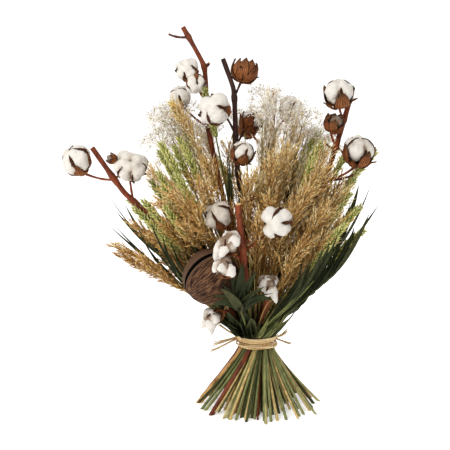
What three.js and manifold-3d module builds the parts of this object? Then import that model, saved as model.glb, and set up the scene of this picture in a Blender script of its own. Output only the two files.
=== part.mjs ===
// A hand-tied bunch of dried cotton branches, green ears, golden grass plumes, fine umbels, long leaves
// and one woody pod. It stands on its own spread stems, which cross in a spiral where a raffia band ties
// them.
// Millimetres, +Z up, front towards -Y. The origin is the cut end of the middle stem, on the table.
import * as THREE from "three";
import { mergeVertices } from "three/addons/utils/BufferGeometryUtils.js";
import Module from "manifold-3d";

const wasm = await Module();
wasm.setup();

// ---- Driving dimensions ----
const TIE_HEIGHT = 102; // middle of the raffia band above the table
const SLOT_PITCH = 7.25; // between neighbouring stems where they are tied
const SLOT_RINGS = 3; // rings of stems round the middle one
const NECK_RADIUS = SLOT_RINGS * SLOT_PITCH;
const BEND = 20; // height over which a stem turns outwards, above and below the tie
const HEAD_SPREAD = 1.05; // radius that an outermost stem gains per millimetre of height, above the tie
const FOOT_SPREAD = 0.79; // the same below the tie
const HEAD_LEAN = 0.12; // how far the flowering part leans to the left, per millimetre of height
const TWIST = 0.42; // radians: how much of a turn the spiral makes
const TWIST_REACH = 30; // height over which it makes most of that turn
const GAP = 0.35; // clearance between pieces that touch
const WOOD_RADIUS = 3.5; // a cotton branch in the tie
const STALK_RADIUS = 2.1; // a grass stalk
const LONE_IN_TIE = 3.5; // a stalk that has a place in the tie to itself is swollen there, to fill it
const SHARED_IN_TIE = 2.4; // one of two or three stalks that share a place
const STALK_SIDES = 5;
const STATIONS = [0, 76, 102, 130]; // heights where every stem has a ring of points
const BEND_FROM = 114; // height where a stem starts to leave the flow for its own head
const BEND_CLEAR = 6; // clearance that stems keep round a boll or the pod

const v = (x, y, z) => new THREE.Vector3(x, y, z);
const UP = v(0, 0, 1);
const lerp = THREE.MathUtils.lerp;
const ease = (t) => THREE.MathUtils.smoothstep(t, 0, 1);
const noise = (n) => THREE.MathUtils.euclideanModulo(Math.sin(n * 12.9898) * 43758.5453, 1);

// ---- Solids ----
// A closed mesh through rings of points, first to last. A ring of one point is a tip.
function loft(rings) {
  const points = rings.flat();
  const index = [];
  let start = 0;
  rings.slice(0, -1).forEach((ring, i) => {
    const next = start + ring.length;
    const [a, b] = [ring.length, rings[i + 1].length];
    for (let j = 0; j < Math.max(a, b); j++) {
      const k = (j + 1) % Math.max(a, b);
      if (a > 1) index.push(start + j, start + k, b > 1 ? next + k : next);
      if (b > 1) index.push(a > 1 ? start + j : start, next + k, next + j);
    }
    start = next;
  });
  const cap = (first, count, flip) => {
    for (let j = 1; j + 1 < count; j++)
      index.push(first, first + (flip ? j + 1 : j), first + (flip ? j : j + 1));
  };
  cap(0, rings[0].length, true);
  cap(start, rings.at(-1).length, false);
  return solid(new THREE.BufferGeometry().setFromPoints(points).setIndex(index));
}

// A manifold-3d solid of a three.js geometry, with its faces turned outwards.
function solid(geometry) {
  const merged = mergeVertices(geometry, 1e-4);
  const triVerts = new Uint32Array(merged.index.array);
  const vertProperties = new Float32Array(merged.attributes.position.array);
  const made = new wasm.Manifold(new wasm.Mesh({ numProp: 3, vertProperties, triVerts }));
  if (made.volume() >= 0) return made;
  return new wasm.Manifold(new wasm.Mesh({ numProp: 3, vertProperties, triVerts: triVerts.reverse() }));
}

const fuse = (solids) => wasm.Manifold.union(solids);

function mesh(name, made, material) {
  const { numProp, numVert, vertProperties, triVerts } = made.getMesh();
  const position = new Float32Array(numVert * 3);
  for (let i = 0; i < numVert; i++)
    position.set(vertProperties.subarray(i * numProp, i * numProp + 3), i * 3);
  const geometry = new THREE.BufferGeometry()
    .setAttribute("position", new THREE.BufferAttribute(position, 3))
    .setIndex(new THREE.BufferAttribute(triVerts, 1));
  geometry.computeVertexNormals();
  const piece = new THREE.Mesh(geometry, material);
  piece.name = name;
  return piece;
}

// Two directions square to an axis, the first as near as it can be to a wanted one.
function across(axis, wanted = v(1, 0, 0)) {
  const side = wanted.clone().addScaledVector(axis, -wanted.dot(axis)).normalize();
  return [side, axis.clone().cross(side)];
}

function ringOf(centre, axis, radiusAt, sides, wanted) {
  const [side, other] = across(axis, wanted);
  return Array.from({ length: sides }, (_, j) => {
    const angle = (2 * Math.PI * j) / sides;
    return centre
      .clone()
      .addScaledVector(side, radiusAt(j) * Math.cos(angle))
      .addScaledVector(other, radiusAt(j) * Math.sin(angle));
  });
}

function tangents(points) {
  return points.map((_, i) =>
    points[Math.min(i + 1, points.length - 1)].clone().sub(points[Math.max(i - 1, 0)]).normalize(),
  );
}

// Rings of a round stem through points. One that starts on the table is cut flat there.
function stemRings(points, radii, sides = STALK_SIDES, wanted = v(1, 0, 0)) {
  const axes = tangents(points);
  return points.map((point, i) => {
    const ring = ringOf(point, axes[i], () => radii[i], sides, wanted);
    if (i === 0 && point.z === 0) ring.forEach((p) => p.addScaledVector(axes[0], -p.z / axes[0].z));
    return ring;
  });
}

// ---- How the stems run ----
// Where a stem that passes the tie at (x, y) has got to at height z. Every stem is carried by this one
// flow, which only ever spreads away from the tie, so no two of them meet.
function flow(x, y, z) {
  const rise = z - TIE_HEIGHT;
  const reach = Math.hypot(rise, BEND) - BEND;
  const radius = Math.hypot(x, y) * (1 + (reach * (rise > 0 ? HEAD_SPREAD : FOOT_SPREAD)) / NECK_RADIUS);
  const angle = Math.atan2(y, x) + TWIST * Math.atan(rise / TWIST_REACH);
  const lean = rise > 0 ? HEAD_LEAN * reach : 0;
  return v(radius * Math.cos(angle) - lean, radius * Math.sin(angle), z);
}

// Where the stem of a head at that point would pass the tie.
function neckOf(head) {
  const out = flow(1, 0, head.z);
  const lean = HEAD_LEAN * (Math.hypot(head.z - TIE_HEIGHT, BEND) - BEND);
  const scale = Math.hypot(out.x + lean, out.y);
  const turn = Math.atan2(out.y, out.x + lean);
  const angle = Math.atan2(head.y, head.x + lean) - turn;
  const radius = Math.hypot(head.x + lean, head.y) / scale;
  return v(radius * Math.cos(angle), radius * Math.sin(angle), 0);
}

const slots = [v(0, 0, 0)];
for (let ring = 1; ring <= SLOT_RINGS; ring++)
  for (let i = 0; i < 6 * ring; i++) {
    const angle = (2 * Math.PI * (i + 0.5 * (ring % 2))) / (6 * ring);
    slots.push(v(ring * SLOT_PITCH * Math.cos(angle), ring * SLOT_PITCH * Math.sin(angle), 0));
  }

// Each stem gets the slot that suits its head: slots are swapped for as long as that brings two stems nearer.
function assignSlots(heads) {
  const wanted = heads.map(neckOf);
  const owner = heads.map((_, i) => i);
  const cost = (head, slot) => wanted[head].distanceToSquared(slots[slot]);
  for (let changed = true; changed; ) {
    changed = false;
    for (let a = 1; a < heads.length; a++)
      for (let b = a + 1; b < heads.length; b++)
        if (cost(a, owner[b]) + cost(b, owner[a]) < cost(a, owner[a]) + cost(b, owner[b]) - 1e-9) {
          [owner[a], owner[b]] = [owner[b], owner[a]];
          changed = true;
        }
  }
  return owner.map((slot) => slots[slot]);
}

// ---- What is in the bunch, and where each head is ----
// Cotton branches: the points the branch passes above the tie, then each boll's centre, its radius as
// size, the way its cotton faces, its number of locks, and the height where its twig leaves the branch.
const BRANCHES = {
  centre: {
    way: [v(-32, -20, 395), v(-36, -5, 485), v(-51, 0, 527)],
    bolls: [
      { at: v(-12, 12, 512), size: 21, face: v(0.3, 0.6, 0.75), locks: 5, from: 470 },
      { at: v(-62, -42, 457), size: 25, face: v(-0.5, -0.75, 0.35), locks: 4, from: 415 },
      { at: v(-8, 24, 432), size: 18, face: v(0.6, 0.3, 0.7), locks: 4, from: 395 },
      { at: v(-22, -55, 396), size: 20, face: v(-0.1, -0.7, 0.7), locks: 4, from: 360 },
    ],
  },
  upper_left: {
    way: [v(-75, 12, 440), v(-79, 15, 515), v(-110, 20, 572)],
    bolls: [
      { at: v(-108, -8, 500), size: 24, face: v(-0.6, -0.6, 0.5), locks: 4, from: 462 },
      { at: v(-121, 32, 466), size: 20, face: v(-0.7, 0.2, 0.7), locks: 4, from: 425 },
    ],
  },
  right: {
    way: [v(99, -30, 352), v(122, -20, 425), v(138, -10, 478)],
    bolls: [
      { at: v(114, -42, 484), size: 24, face: v(-0.2, -0.2, 0.95), locks: 5, from: 440 },
      { at: v(106, -38, 438), size: 15, face: v(-0.3, -0.4, 0.85), locks: 4, from: 405 },
      { at: v(146, -42, 396), size: 24, face: v(0.2, -0.2, 0.95), locks: 5, from: 352 },
    ],
  },
  left: {
    way: [v(-144, -25, 285), v(-196, -20, 331), v(-244, -10, 397)],
    bolls: [
      { at: v(-267, -24, 378), size: 24, face: v(-0.7, -0.4, 0.6), locks: 5, from: 349 },
      { at: v(-186, -44, 374), size: 27, face: v(0.1, -0.8, 0.6), locks: 5, from: 318 },
    ],
  },
  front: {
    way: [v(-19, -95, 224), v(-24, -115, 272), v(-30, -130, 334)],
    bolls: [
      { at: v(26, -124, 308), size: 24, face: v(0.35, -0.9, 0.3), locks: 4, from: 262 },
      { at: v(-58, -84, 308), size: 22, face: v(-0.5, -0.5, 0.7), locks: 4, from: 280 },
      { at: v(-60, -130, 278), size: 22, face: v(-0.4, -0.85, 0.3), locks: 4, from: 250 },
      { at: v(-56, -140, 236), size: 19, face: v(-0.5, -0.8, -0.1), locks: 4, from: 222 },
    ],
  },
  front_low: {
    way: [v(12, -54, 166), v(16, -64, 186)],
    bolls: [{ at: v(14, -84, 209), size: 19, face: v(0.1, -0.8, 0.6), locks: 4, from: 178 }],
  },
  low_left: {
    way: [v(-38, -42, 153), v(-46, -54, 164)],
    bolls: [{ at: v(-66, -74, 156), size: 19, face: v(-0.8, -0.6, -0.3), locks: 4, from: 150 }],
  },
  back: {
    way: [v(15, 70, 300), v(25, 105, 400), v(30, 125, 470)],
    bolls: [
      { at: v(58, 122, 448), size: 24, face: v(0.5, 0.5, 0.7), locks: 5, from: 400 },
      { at: v(-14, 142, 410), size: 22, face: v(-0.4, 0.8, 0.5), locks: 4, from: 370 },
      { at: v(44, 124, 350), size: 23, face: v(0.4, 0.9, 0.3), locks: 5, from: 315 },
    ],
  },
};

const POD = { at: v(-68, -80, 218), radius: 40, stem: v(-26, -44, 174) };

// The other stems: the tip of each one's middle head, how many heads it has, and how long they are.
const EARS = {
  tall: { tip: v(-97, -18, 484), heads: 2, length: 78 },
  upper_left: { tip: v(-140, -34, 412), heads: 2, length: 76 },
  front_left: { tip: v(-119, -62, 357), heads: 2, length: 80 },
  left: { tip: v(-178, 12, 322), heads: 2, length: 78 },
  upper_right: { tip: v(88, 6, 418), heads: 2, length: 80 },
  right: { tip: v(158, 6, 410), heads: 2, length: 72 },
  low_right: { tip: v(140, -52, 318), heads: 3, length: 74 },
  back: { tip: v(-70, 128, 380), heads: 2, length: 78 },
};
const PLUMES = {
  middle: { tip: v(-4, -79, 388), heads: 2, length: 105 },
  inner_right: { tip: v(50, -28, 408), heads: 3, length: 115 },
  front_right: { tip: v(74, -84, 366), heads: 3, length: 115 },
  low_right: { tip: v(100, -106, 302), heads: 2, length: 100 },
  front_left: { tip: v(-124, -94, 346), heads: 2, length: 84, bends: 4 },
  tail: { tip: v(-188, -36, 258), heads: 2, length: 92 },
  back_left: { tip: v(-140, 84, 350), heads: 2, length: 100 },
  back_right: { tip: v(100, 92, 372), heads: 2, length: 110 },
};
const UMBELS = {
  far_left: { tip: v(-142, 24, 446), size: 38 },
  back_left: { tip: v(-130, 78, 412), size: 40 },
  inner_left: { tip: v(-92, 48, 400), size: 36 },
  middle: { tip: v(8, 30, 474), size: 38 },
  inner_right: { tip: v(54, 22, 460), size: 40 },
  back_right: { tip: v(68, 58, 424), size: 38 },
};
const LEAVES = {
  outer_right: { tip: v(120, 8, 240), blades: 7, length: 122, width: 12, fan: 0.44, face: v(0.3, -1, 0) },
  inner_right: { tip: v(112, -62, 220), blades: 7, length: 110, width: 11, fan: 0.4, face: v(0.2, -1, 0.3) },
  left: { tip: v(-150, 6, 236), blades: 7, length: 110, width: 8, fan: 0.42, face: v(-0.3, -1, 0) },
  upright: { tip: v(-40, -36, 306), blades: 6, length: 110, width: 8, fan: 0.22, face: v(0, -1, 0) },
  palm: { tip: v(-14, -104, 166), blades: 7, length: 64, width: 13, fan: 1.2, aim: v(0.05, -0.45, 0.89) },
  back: { tip: v(40, 96, 230), blades: 7, length: 110, width: 12, fan: 0.5, face: v(0.4, 1, 0) },
};

// Stems part round each boll and the pod, as water parts round a stone.
const obstacles = [
  ...Object.values(BRANCHES).flatMap((branch) => branch.bolls.map(({ at, size }) => ({ at, radius: size }))),
  { at: POD.at, radius: POD.radius },
];

function partRound(point) {
  for (const { at, radius } of obstacles) {
    const clear = radius + BEND_CLEAR;
    const away = point.clone().sub(at);
    const far = away.length();
    point = at.clone().addScaledVector(away, Math.pow(far ** 4 + clear ** 4, 0.25) / far);
  }
  return point;
}

// The line of a stem from the table to its head, as points at the stations and then up to the head's height.
function stemLine(neck, slot, head, levels) {
  const miss = head.clone().sub(flow(slot.x, slot.y, head.z));
  return levels.map((z) => {
    const share = ease((z - BEND_FROM) / (head.z - BEND_FROM));
    const point = flow(neck.x, neck.y, z).addScaledVector(miss, share);
    return z > TIE_HEIGHT ? partRound(point) : point;
  });
}

const stalkRadii = (points, inTie) => points.map(({ z }) => (z === TIE_HEIGHT ? inTie : STALK_RADIUS));

const levelsTo = (top, more) => {
  const low = STATIONS.filter((z) => z < top - 12);
  const last = low.at(-1);
  return [...low, ...Array.from({ length: more }, (_, i) => lerp(last, top, (i + 1) / more))];
};

// Places in the tie of the stalks that share one slot, side by side.
function shareSlot(slot, count) {
  const apart = count === 1 ? 0 : count === 2 ? 1.35 : 1.55;
  const first = Math.atan2(slot.y, slot.x) + Math.PI / 2;
  return Array.from({ length: count }, (_, i) => {
    const angle = first + (2 * Math.PI * i) / count;
    return v(slot.x + apart * Math.cos(angle), slot.y + apart * Math.sin(angle), 0);
  });
}

// ---- Cotton ----
const COTTON_ROWS = [26, 60, 94, 122, 150]; // degrees from the boll's top at which its cotton has points

// How far the cotton reaches from the boll's centre: locks stand out, and the grooves between them go in.
function cottonReach(size, degrees, groove) {
  const flat = degrees > 140 ? 0.86 : degrees < 30 ? 0.9 : 1;
  return size * flat * (groove ? 0.72 : 1);
}

// A point of a boll, from its centre: degrees down from the top, and a turn about its axis.
function bollPoint(boll, degrees, turn, reach) {
  const axis = boll.face.clone().normalize();
  const [side, other] = across(axis);
  const down = THREE.MathUtils.degToRad(degrees);
  return boll.at
    .clone()
    .addScaledVector(axis, reach * Math.cos(down))
    .addScaledVector(side, reach * Math.sin(down) * Math.cos(turn))
    .addScaledVector(other, reach * Math.sin(down) * Math.sin(turn));
}

function cotton(boll) {
  const columns = 3 * boll.locks;
  const row = (degrees) =>
    Array.from({ length: columns }, (_, j) => {
      const reach = cottonReach(boll.size, degrees, j % 3 === 0);
      return bollPoint(boll, degrees, (2 * Math.PI * j) / columns, reach);
    });
  const top = [bollPoint(boll, 0, 0, boll.size * 0.74)];
  const bottom = [bollPoint(boll, 180, 0, boll.size * 0.76)];
  return loft([top, ...COTTON_ROWS.map(row), bottom]);
}

// The dry husk: a cup under the cotton and a pointed valve in each groove.
function burr(boll) {
  const { size, locks } = boll;
  const axis = boll.face.clone().normalize();
  const cupTop = boll.at.clone().addScaledVector(axis, -0.88 * size - GAP);
  const cupFoot = cupTop.clone().addScaledVector(axis, -0.2 * size);
  const cup = loft([
    ringOf(cupFoot, axis, () => 0.16 * size, 5),
    ringOf(cupTop, axis, () => 0.44 * size, 5),
  ]);
  const peak = (2 * Math.PI) / (3 * locks);
  const valves = Array.from({ length: locks }, (_, i) => {
    const turn = (2 * Math.PI * i) / locks;
    const section = (degrees, share) => {
      const keel = bollPoint(boll, degrees, turn, cottonReach(size, degrees, true));
      const out = keel.clone().sub(boll.at).normalize();
      const flank = (way) =>
        keel
          .clone()
          .lerp(bollPoint(boll, degrees, turn + way * peak, cottonReach(size, degrees, false)), share)
          .addScaledVector(out, 0.095 * size);
      return [keel.clone().addScaledVector(out, 0.7), flank(1), flank(-1)];
    };
    return loft([
      [bollPoint(boll, 172, turn, 1.0 * size)],
      section(150, 0.66),
      section(122, 0.5),
      [bollPoint(boll, 86, turn, 1.06 * size)],
    ]);
  });
  return fuse([cup, ...valves]);
}

function cottonBranch(branch, slot) {
  const [first] = branch.way;
  const low = STATIONS.filter((z) => z < first.z - 15);
  const start = stemLine(slot, slot, first, low);
  const points = [...start, ...branch.way];
  const swell = (z) => 0.7 * ease((z - TIE_HEIGHT - 20) / 60) + 0.4 * ease((60 - z) / 60);
  const radii = points.map(({ z }) => WOOD_RADIUS + swell(z));
  const wood = loft(stemRings(points, radii, 6));
  const twigs = branch.bolls.map((boll) => {
    const axis = boll.face.clone().normalize();
    const end = boll.at.clone().addScaledVector(axis, -1.0 * boll.size);
    const i = points.findIndex(({ z }) => z > boll.from);
    const [a, b] = [points[i - 1], points[i]];
    const root = a.clone().lerp(b, (boll.from - a.z) / (b.z - a.z));
    const middle = root.clone().lerp(end, 0.5).addScaledVector(axis, -0.12 * root.distanceTo(end));
    return loft(stemRings([root, middle, end], [1.9, 1.6, 1.9], 5));
  });
  return fuse([wood, ...twigs, ...branch.bolls.map(burr)]);
}

// ---- Ears and plumes ----
// A stalk that ends in a head whose surface is raised in rows of points that lean forward.
function headedStalk(neck, slot, head, style) {
  const top = head.clone();
  const direction = tangents(stemLine(neck, slot, top, [top.z - 30, top.z]))[0];
  const foot = top.z - style.length * direction.z;
  const stalk = levelsTo(foot, style.bends);
  const rows = Array.from({ length: style.rows }, (_, i) => lerp(foot, top.z, (i + 1) / style.rows));
  const levels = [...stalk, ...rows];
  const points = stemLine(neck, slot, top, levels);
  const axes = tangents(points);
  const lower = points.slice(0, stalk.length);
  const rings = stemRings(lower, stalkRadii(lower, SHARED_IN_TIE), STALK_SIDES, neck.clone().sub(slot));
  rows.slice(0, -1).forEach((_, i) => {
    const at = stalk.length + i;
    const t = (i + 1) / style.rows;
    const width = style.radius * (1 - style.bulge + style.bulge * Math.sin(Math.PI * t));
    const point = (j) => ((i + j) % 2 ? width * style.low : width);
    const ring = ringOf(points[at], axes[at], point, STALK_SIDES);
    ring.forEach((p, j) => p.addScaledVector(axes[at], style.lean * point(j)));
    rings.push(ring);
  });
  rings.push([points.at(-1)]);
  return loft(rings);
}

// A head's greatest radius, how far in the low points lie, how far the points lean forward, and the
// number of rows of points; bulge is how much slimmer the head is at its ends.
const earStyle = { radius: 7.5, low: 0.62, lean: 0.5, rows: 8, bulge: 0.45 };
const plumeStyle = { radius: 13, low: 0.3, lean: 1.1, rows: 8, bulge: 0.6 };

function headedBunch(bunch, slot, style) {
  const stalks = shareSlot(slot, bunch.heads).map((neck, i) => {
    const shorter = i * 0.22 * bunch.length;
    const tip = bunch.tip.clone().setZ(bunch.tip.z - shorter);
    return headedStalk(neck, slot, tip, { bends: 2, ...style, ...bunch });
  });
  return fuse(stalks);
}

// ---- Umbels ----
const RAYS = 10;

function umbel({ tip, size }, slot, seed) {
  const hub = tip.z - 0.8 * size;
  const levels = levelsTo(hub, 3);
  const points = stemLine(slot, slot, tip, levels);
  const axis = tangents(points).at(-1);
  const centre = points.at(-1);
  const rays = Array.from({ length: RAYS }, (_, i) => {
    const turn = i * Math.PI * (3 - Math.sqrt(5)) + seed;
    const spread = 0.95 * Math.sqrt((i + 0.5) / RAYS);
    const [side, other] = across(axis);
    const way = axis
      .clone()
      .multiplyScalar(Math.cos(spread))
      .addScaledVector(side, Math.sin(spread) * Math.cos(turn))
      .addScaledVector(other, Math.sin(spread) * Math.sin(turn));
    const reach = size * (0.86 + 0.2 * noise(i + 10 * seed));
    const point = (far) => centre.clone().addScaledVector(way, far * reach);
    const ring = (far, radius) => ringOf(point(far), way, () => radius, 3);
    return loft([ring(0, 0.9), ring(0.86, 0.7), ring(0.93, 3), [point(1)]]);
  });
  const stalk = loft(stemRings(points, stalkRadii(points, LONE_IN_TIE), 4, slot));
  return fuse([stalk, ...rays]);
}

// ---- Leaves ----
// One blade: a keeled strip from a root that bends from one direction to another.
function blade(root, start, finish, length, width, outward) {
  const middle = root.clone().addScaledVector(start, 0.5 * length);
  const end = middle.clone().addScaledVector(finish, 0.5 * length);
  const curve = new THREE.QuadraticBezierCurve3(root, middle, end);
  const profile = [0.35, 0.85, 1, 0.62];
  const rings = profile.map((share, i) => {
    const t = i / profile.length;
    const along = curve.getTangent(t);
    const [normal, side] = across(along, outward);
    const centre = curve.getPoint(t);
    const half = (share * width) / 2;
    return [
      centre.clone().addScaledVector(side, half),
      centre.clone().addScaledVector(side, -half),
      centre.clone().addScaledVector(normal, -1.6),
    ];
  });
  return loft([...rings, [end]]);
}

// A stalk with blades that leave it on both sides, or that all fan out from its end towards an aim.
function leafyStem({ tip, blades, length, width, fan, face, aim }, slot, seed) {
  const points = stemLine(slot, slot, tip, levelsTo(tip.z, 2));
  const stalk = loft(stemRings(points, stalkRadii(points, LONE_IN_TIE), 4, slot));
  const end = points.at(-1);
  const axis = aim ? aim.clone().normalize() : tangents(points).at(-1);
  const [normal, side] = across(axis, face ?? v(0, -1, 0));
  const made = Array.from({ length: blades }, (_, i) => {
    const t = i / (blades - 1);
    const root = aim ? end.clone().addScaledVector(axis, -1) : points.at(-2).clone().lerp(end, t);
    const swing = fan * (aim ? 2 * t - 1 : (i % 2 ? 1 : -1) * (1 - 0.55 * t));
    const lift = 0.14 * (noise(seed * 7 + i) - 0.3);
    const way = (angle, out) =>
      axis
        .clone()
        .multiplyScalar(Math.cos(angle))
        .addScaledVector(side, Math.sin(angle))
        .addScaledVector(normal, out + lift)
        .normalize();
    const long = length * (0.8 + 0.25 * noise(seed * 3 + i));
    return blade(root, way(0.75 * swing, 0.1), way(1.15 * swing, -0.05), long, width, normal);
  });
  return fuse([stalk, ...made]);
}

// ---- The woody pod ----
// Columns of points round the pod from its slit: where each is, and how far it stands out.
const POD_LIPS = [
  [-16, 1.0],
  [-13.5, 1.05],
  [-5, 1.05],
  [-2.5, 0.78],
  [2.5, 0.78],
  [5, 1.04],
  [11, 1.04],
  [13.5, 0.99],
];

function pod(slot) {
  const { at, radius, stem } = POD;
  const axis = v(0.5, 0.1, 0.86).normalize();
  const [front, left] = across(axis, v(-0.62, -0.7, 0.35));
  const columns = [...POD_LIPS];
  for (let turn = 30; turn < 340; turn += 20) columns.push([turn, columns.length % 2 ? 1 : 0.965]);
  const rows = [18, 40, 62, 84, 106, 128, 148, 166];
  const point = (down, [turn, reach]) => {
    const polar = THREE.MathUtils.degToRad(down);
    const open = reach < 0.9 && (down < 20 || down > 160) ? 1 : reach;
    const far = radius * (1 + (open - 1) * Math.min(1, Math.sin(polar) * 1.6));
    const a = THREE.MathUtils.degToRad(turn);
    return at
      .clone()
      .addScaledVector(axis, far * 1.02 * Math.cos(polar))
      .addScaledVector(front, far * Math.sin(polar) * Math.cos(a))
      .addScaledVector(left, far * Math.sin(polar) * Math.sin(a));
  };
  const husk = loft([
    [at.clone().addScaledVector(axis, radius)],
    ...rows.map((down) => columns.map((column) => point(down, column))),
    [at.clone().addScaledVector(axis, -radius)],
  ]);
  const low = STATIONS.filter((z) => z < stem.z - 12);
  const foot = at.clone().addScaledVector(axis, -0.9 * radius);
  const miss = stem.clone().sub(flow(slot.x, slot.y, stem.z));
  const carried = low.map((z) => {
    const share = ease((z - BEND_FROM) / (stem.z - BEND_FROM));
    return flow(slot.x, slot.y, z).addScaledVector(miss, share);
  });
  const line = [...carried, stem, foot];
  return fuse([husk, loft(stemRings(line, stalkRadii(line, LONE_IN_TIE), STALK_SIDES, slot))]);
}

// ---- The raffia band ----
const BAND_HALF = 7.5;

function raffia() {
  const rise = STATIONS.at(-1) - TIE_HEIGHT;
  const slope = (1.3 * (Math.hypot(rise, BEND) - BEND) * HEAD_SPREAD) / rise;
  const reach = (z) => NECK_RADIUS + slope * Math.abs(z) + 1.1 * WOOD_RADIUS + GAP;
  const profile = [];
  for (const z of [-BAND_HALF, 0, BAND_HALF]) profile.push(new THREE.Vector2(reach(z), z));
  for (const [z, out] of [[BAND_HALF, 1.3], [4, 2.9], [0, 1.7], [-4, 2.9], [-BAND_HALF, 1.3]])
    profile.push(new THREE.Vector2(reach(z) + out, z));
  profile.push(profile[0].clone());
  const ring = new THREE.LatheGeometry(profile, 16).deleteAttribute("normal").deleteAttribute("uv");
  ring.rotateX(Math.PI / 2).translate(0, 0, TIE_HEIGHT);
  const knotAt = v(0, NECK_RADIUS + 8.6, TIE_HEIGHT);
  const knot = new THREE.SphereGeometry(6, 8, 5).deleteAttribute("normal").deleteAttribute("uv");
  knot.scale(1.3, 0.7, 1).translate(knotAt.x, knotAt.y, knotAt.z);
  const ends = [
    [v(-34, 24, 100), v(-66, -4, 84)],
    [v(-32, 26, 104), v(-60, 2, 92)],
    [v(-34, 28, 112), v(-58, 8, 126)],
    [v(32, 26, 100), v(46, 6, 94)],
    [v(34, 26, 106), v(44, 8, 116)],
  ].map(([bend, end]) => loft(stemRings([knotAt, bend, end], [1.2, 1.1, 0.7], 4)));
  return fuse([solid(ring), solid(knot), ...ends]);
}

// ---- The bunch ----
const material = (name, color, roughness) =>
  new THREE.MeshStandardMaterial({ name, color, roughness, metalness: 0 });
const finish = {
  wood: material("cotton_wood", 0x6b2f1c, 0.75),
  cotton: material("cotton_lint", 0xeee6da, 0.95),
  ear: material("green_ear", 0x9aa05c, 0.85),
  plume: material("golden_plume", 0xb58a4c, 0.9),
  umbel: material("umbel", 0xcfc0a0, 0.9),
  leaf: material("dark_leaf", 0x37422b, 0.7),
  pod: material("woody_pod", 0x5e4230, 0.85),
  raffia: material("raffia", 0xd8b27a, 0.8),
};

const bunch = new THREE.Group();
const stems = [];
const addPiece = (name, made, material) => bunch.add(mesh(name, made, material));
const addStem = (name, head, make) => stems.push({ name, head, make });

for (const [name, branch] of Object.entries(BRANCHES))
  addStem(`cotton_branch_${name}`, branch.way[0], (slot, label) => {
    addPiece(label, cottonBranch(branch, slot), finish.wood);
    branch.bolls.forEach((boll, i) => addPiece(`cotton_${name}_${i + 1}`, cotton(boll), finish.cotton));
  });
addStem("woody_pod", POD.stem, (slot, label) => addPiece(label, pod(slot), finish.pod));
for (const [name, one] of Object.entries(EARS))
  addStem(`green_ears_${name}`, one.tip, (slot, label) =>
    addPiece(label, headedBunch(one, slot, earStyle), finish.ear),
  );
for (const [name, one] of Object.entries(PLUMES))
  addStem(`golden_plumes_${name}`, one.tip, (slot, label) =>
    addPiece(label, headedBunch(one, slot, plumeStyle), finish.plume),
  );
for (const [name, one] of Object.entries(UMBELS))
  addStem(`umbel_${name}`, one.tip, (slot, label, i) => addPiece(label, umbel(one, slot, i), finish.umbel));
for (const [name, one] of Object.entries(LEAVES))
  addStem(`leaves_${name}`, one.tip, (slot, label, i) =>
    addPiece(label, leafyStem(one, slot, i), finish.leaf),
  );

const assigned = assignSlots(stems.map(({ head }) => head));
stems.forEach(({ name, make }, i) => make(assigned[i], name, i));
addPiece("raffia_tie", raffia(), finish.raffia);

export default bunch;
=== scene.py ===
"""The looks of a hand-tied bunch of dried cotton branches, ears, plumes, umbels, leaves and a woody pod.

Lengths in this script are millimetres, +Z is up and -Y is the front; a mesh is turned into metres as it
is made. Every surface is worked out with numpy and carries three marks that its finish reads: a tone of
its own, how far along it a point lies, and how far across.
"""

from __future__ import annotations

import logging
import math
from collections.abc import Sequence
from dataclasses import dataclass, field
from enum import Enum

import bpy
import numpy as np
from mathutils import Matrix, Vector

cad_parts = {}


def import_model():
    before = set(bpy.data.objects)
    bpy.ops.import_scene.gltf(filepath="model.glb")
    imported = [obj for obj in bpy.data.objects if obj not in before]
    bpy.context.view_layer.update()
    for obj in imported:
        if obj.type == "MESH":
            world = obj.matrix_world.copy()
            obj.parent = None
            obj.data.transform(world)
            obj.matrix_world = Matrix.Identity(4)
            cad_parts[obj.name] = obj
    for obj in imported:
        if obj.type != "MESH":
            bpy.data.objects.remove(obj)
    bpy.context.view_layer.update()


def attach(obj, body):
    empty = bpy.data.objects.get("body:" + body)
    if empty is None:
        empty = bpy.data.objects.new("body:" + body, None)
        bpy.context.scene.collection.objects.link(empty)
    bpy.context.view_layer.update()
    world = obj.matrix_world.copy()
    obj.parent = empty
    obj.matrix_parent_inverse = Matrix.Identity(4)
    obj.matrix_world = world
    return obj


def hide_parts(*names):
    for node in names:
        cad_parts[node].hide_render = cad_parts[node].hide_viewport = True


Array = np.ndarray
Point = tuple[float, float, float]
Colour = tuple[float, float, float]
Socket = bpy.types.NodeSocket
Material = bpy.types.Material
Random = np.random.Generator
LOG = logging.getLogger("cotton_bunch")
GOLDEN_TURN = math.pi * (3 - math.sqrt(5))
BODY = "root"
# Where three colours stand on a ramp.
STOPS = (0.0, 0.5, 1.0)
# The stems grow thinner above this height, which is just over the tie.
ABOVE_TIE = 130.0
# The numbers of the finishes: a grass wears its own, its stalk's and its cut's; a branch bark, cut and husk.
ON_STALK, ON_CUT = 1, 2
ON_WOOD_CUT, ON_HUSK = 1, 2


# ---- Shared surface mathematics ----
def unit(vectors: Array) -> Array:
    """Each vector divided by its own length."""
    return vectors / np.maximum(np.linalg.norm(vectors, axis=-1, keepdims=True), 1e-9)


def smooth(value: Array, low: float = 0.0, high: float = 1.0) -> Array:
    """The smooth step 3t^2 - 2t^3, with t running from 0 at low to 1 at high."""
    t = np.clip((value - low) / (high - low), 0, 1)
    return t * t * (3 - 2 * t)


def across(axes: Array, wanted: Array) -> tuple[Array, Array]:
    """Two directions square to each axis: wanted less its share along the axis, and the axis crossed with it.

    Args:
        axes: The axes, in the last dimension.
        wanted: The direction that the first answer comes nearest to.

    Returns:
        The two directions, as unit vectors.
    """
    axes = unit(axes)
    side = unit(wanted - (wanted * axes).sum(-1, keepdims=True) * axes)
    return side, np.cross(axes, side)


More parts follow.
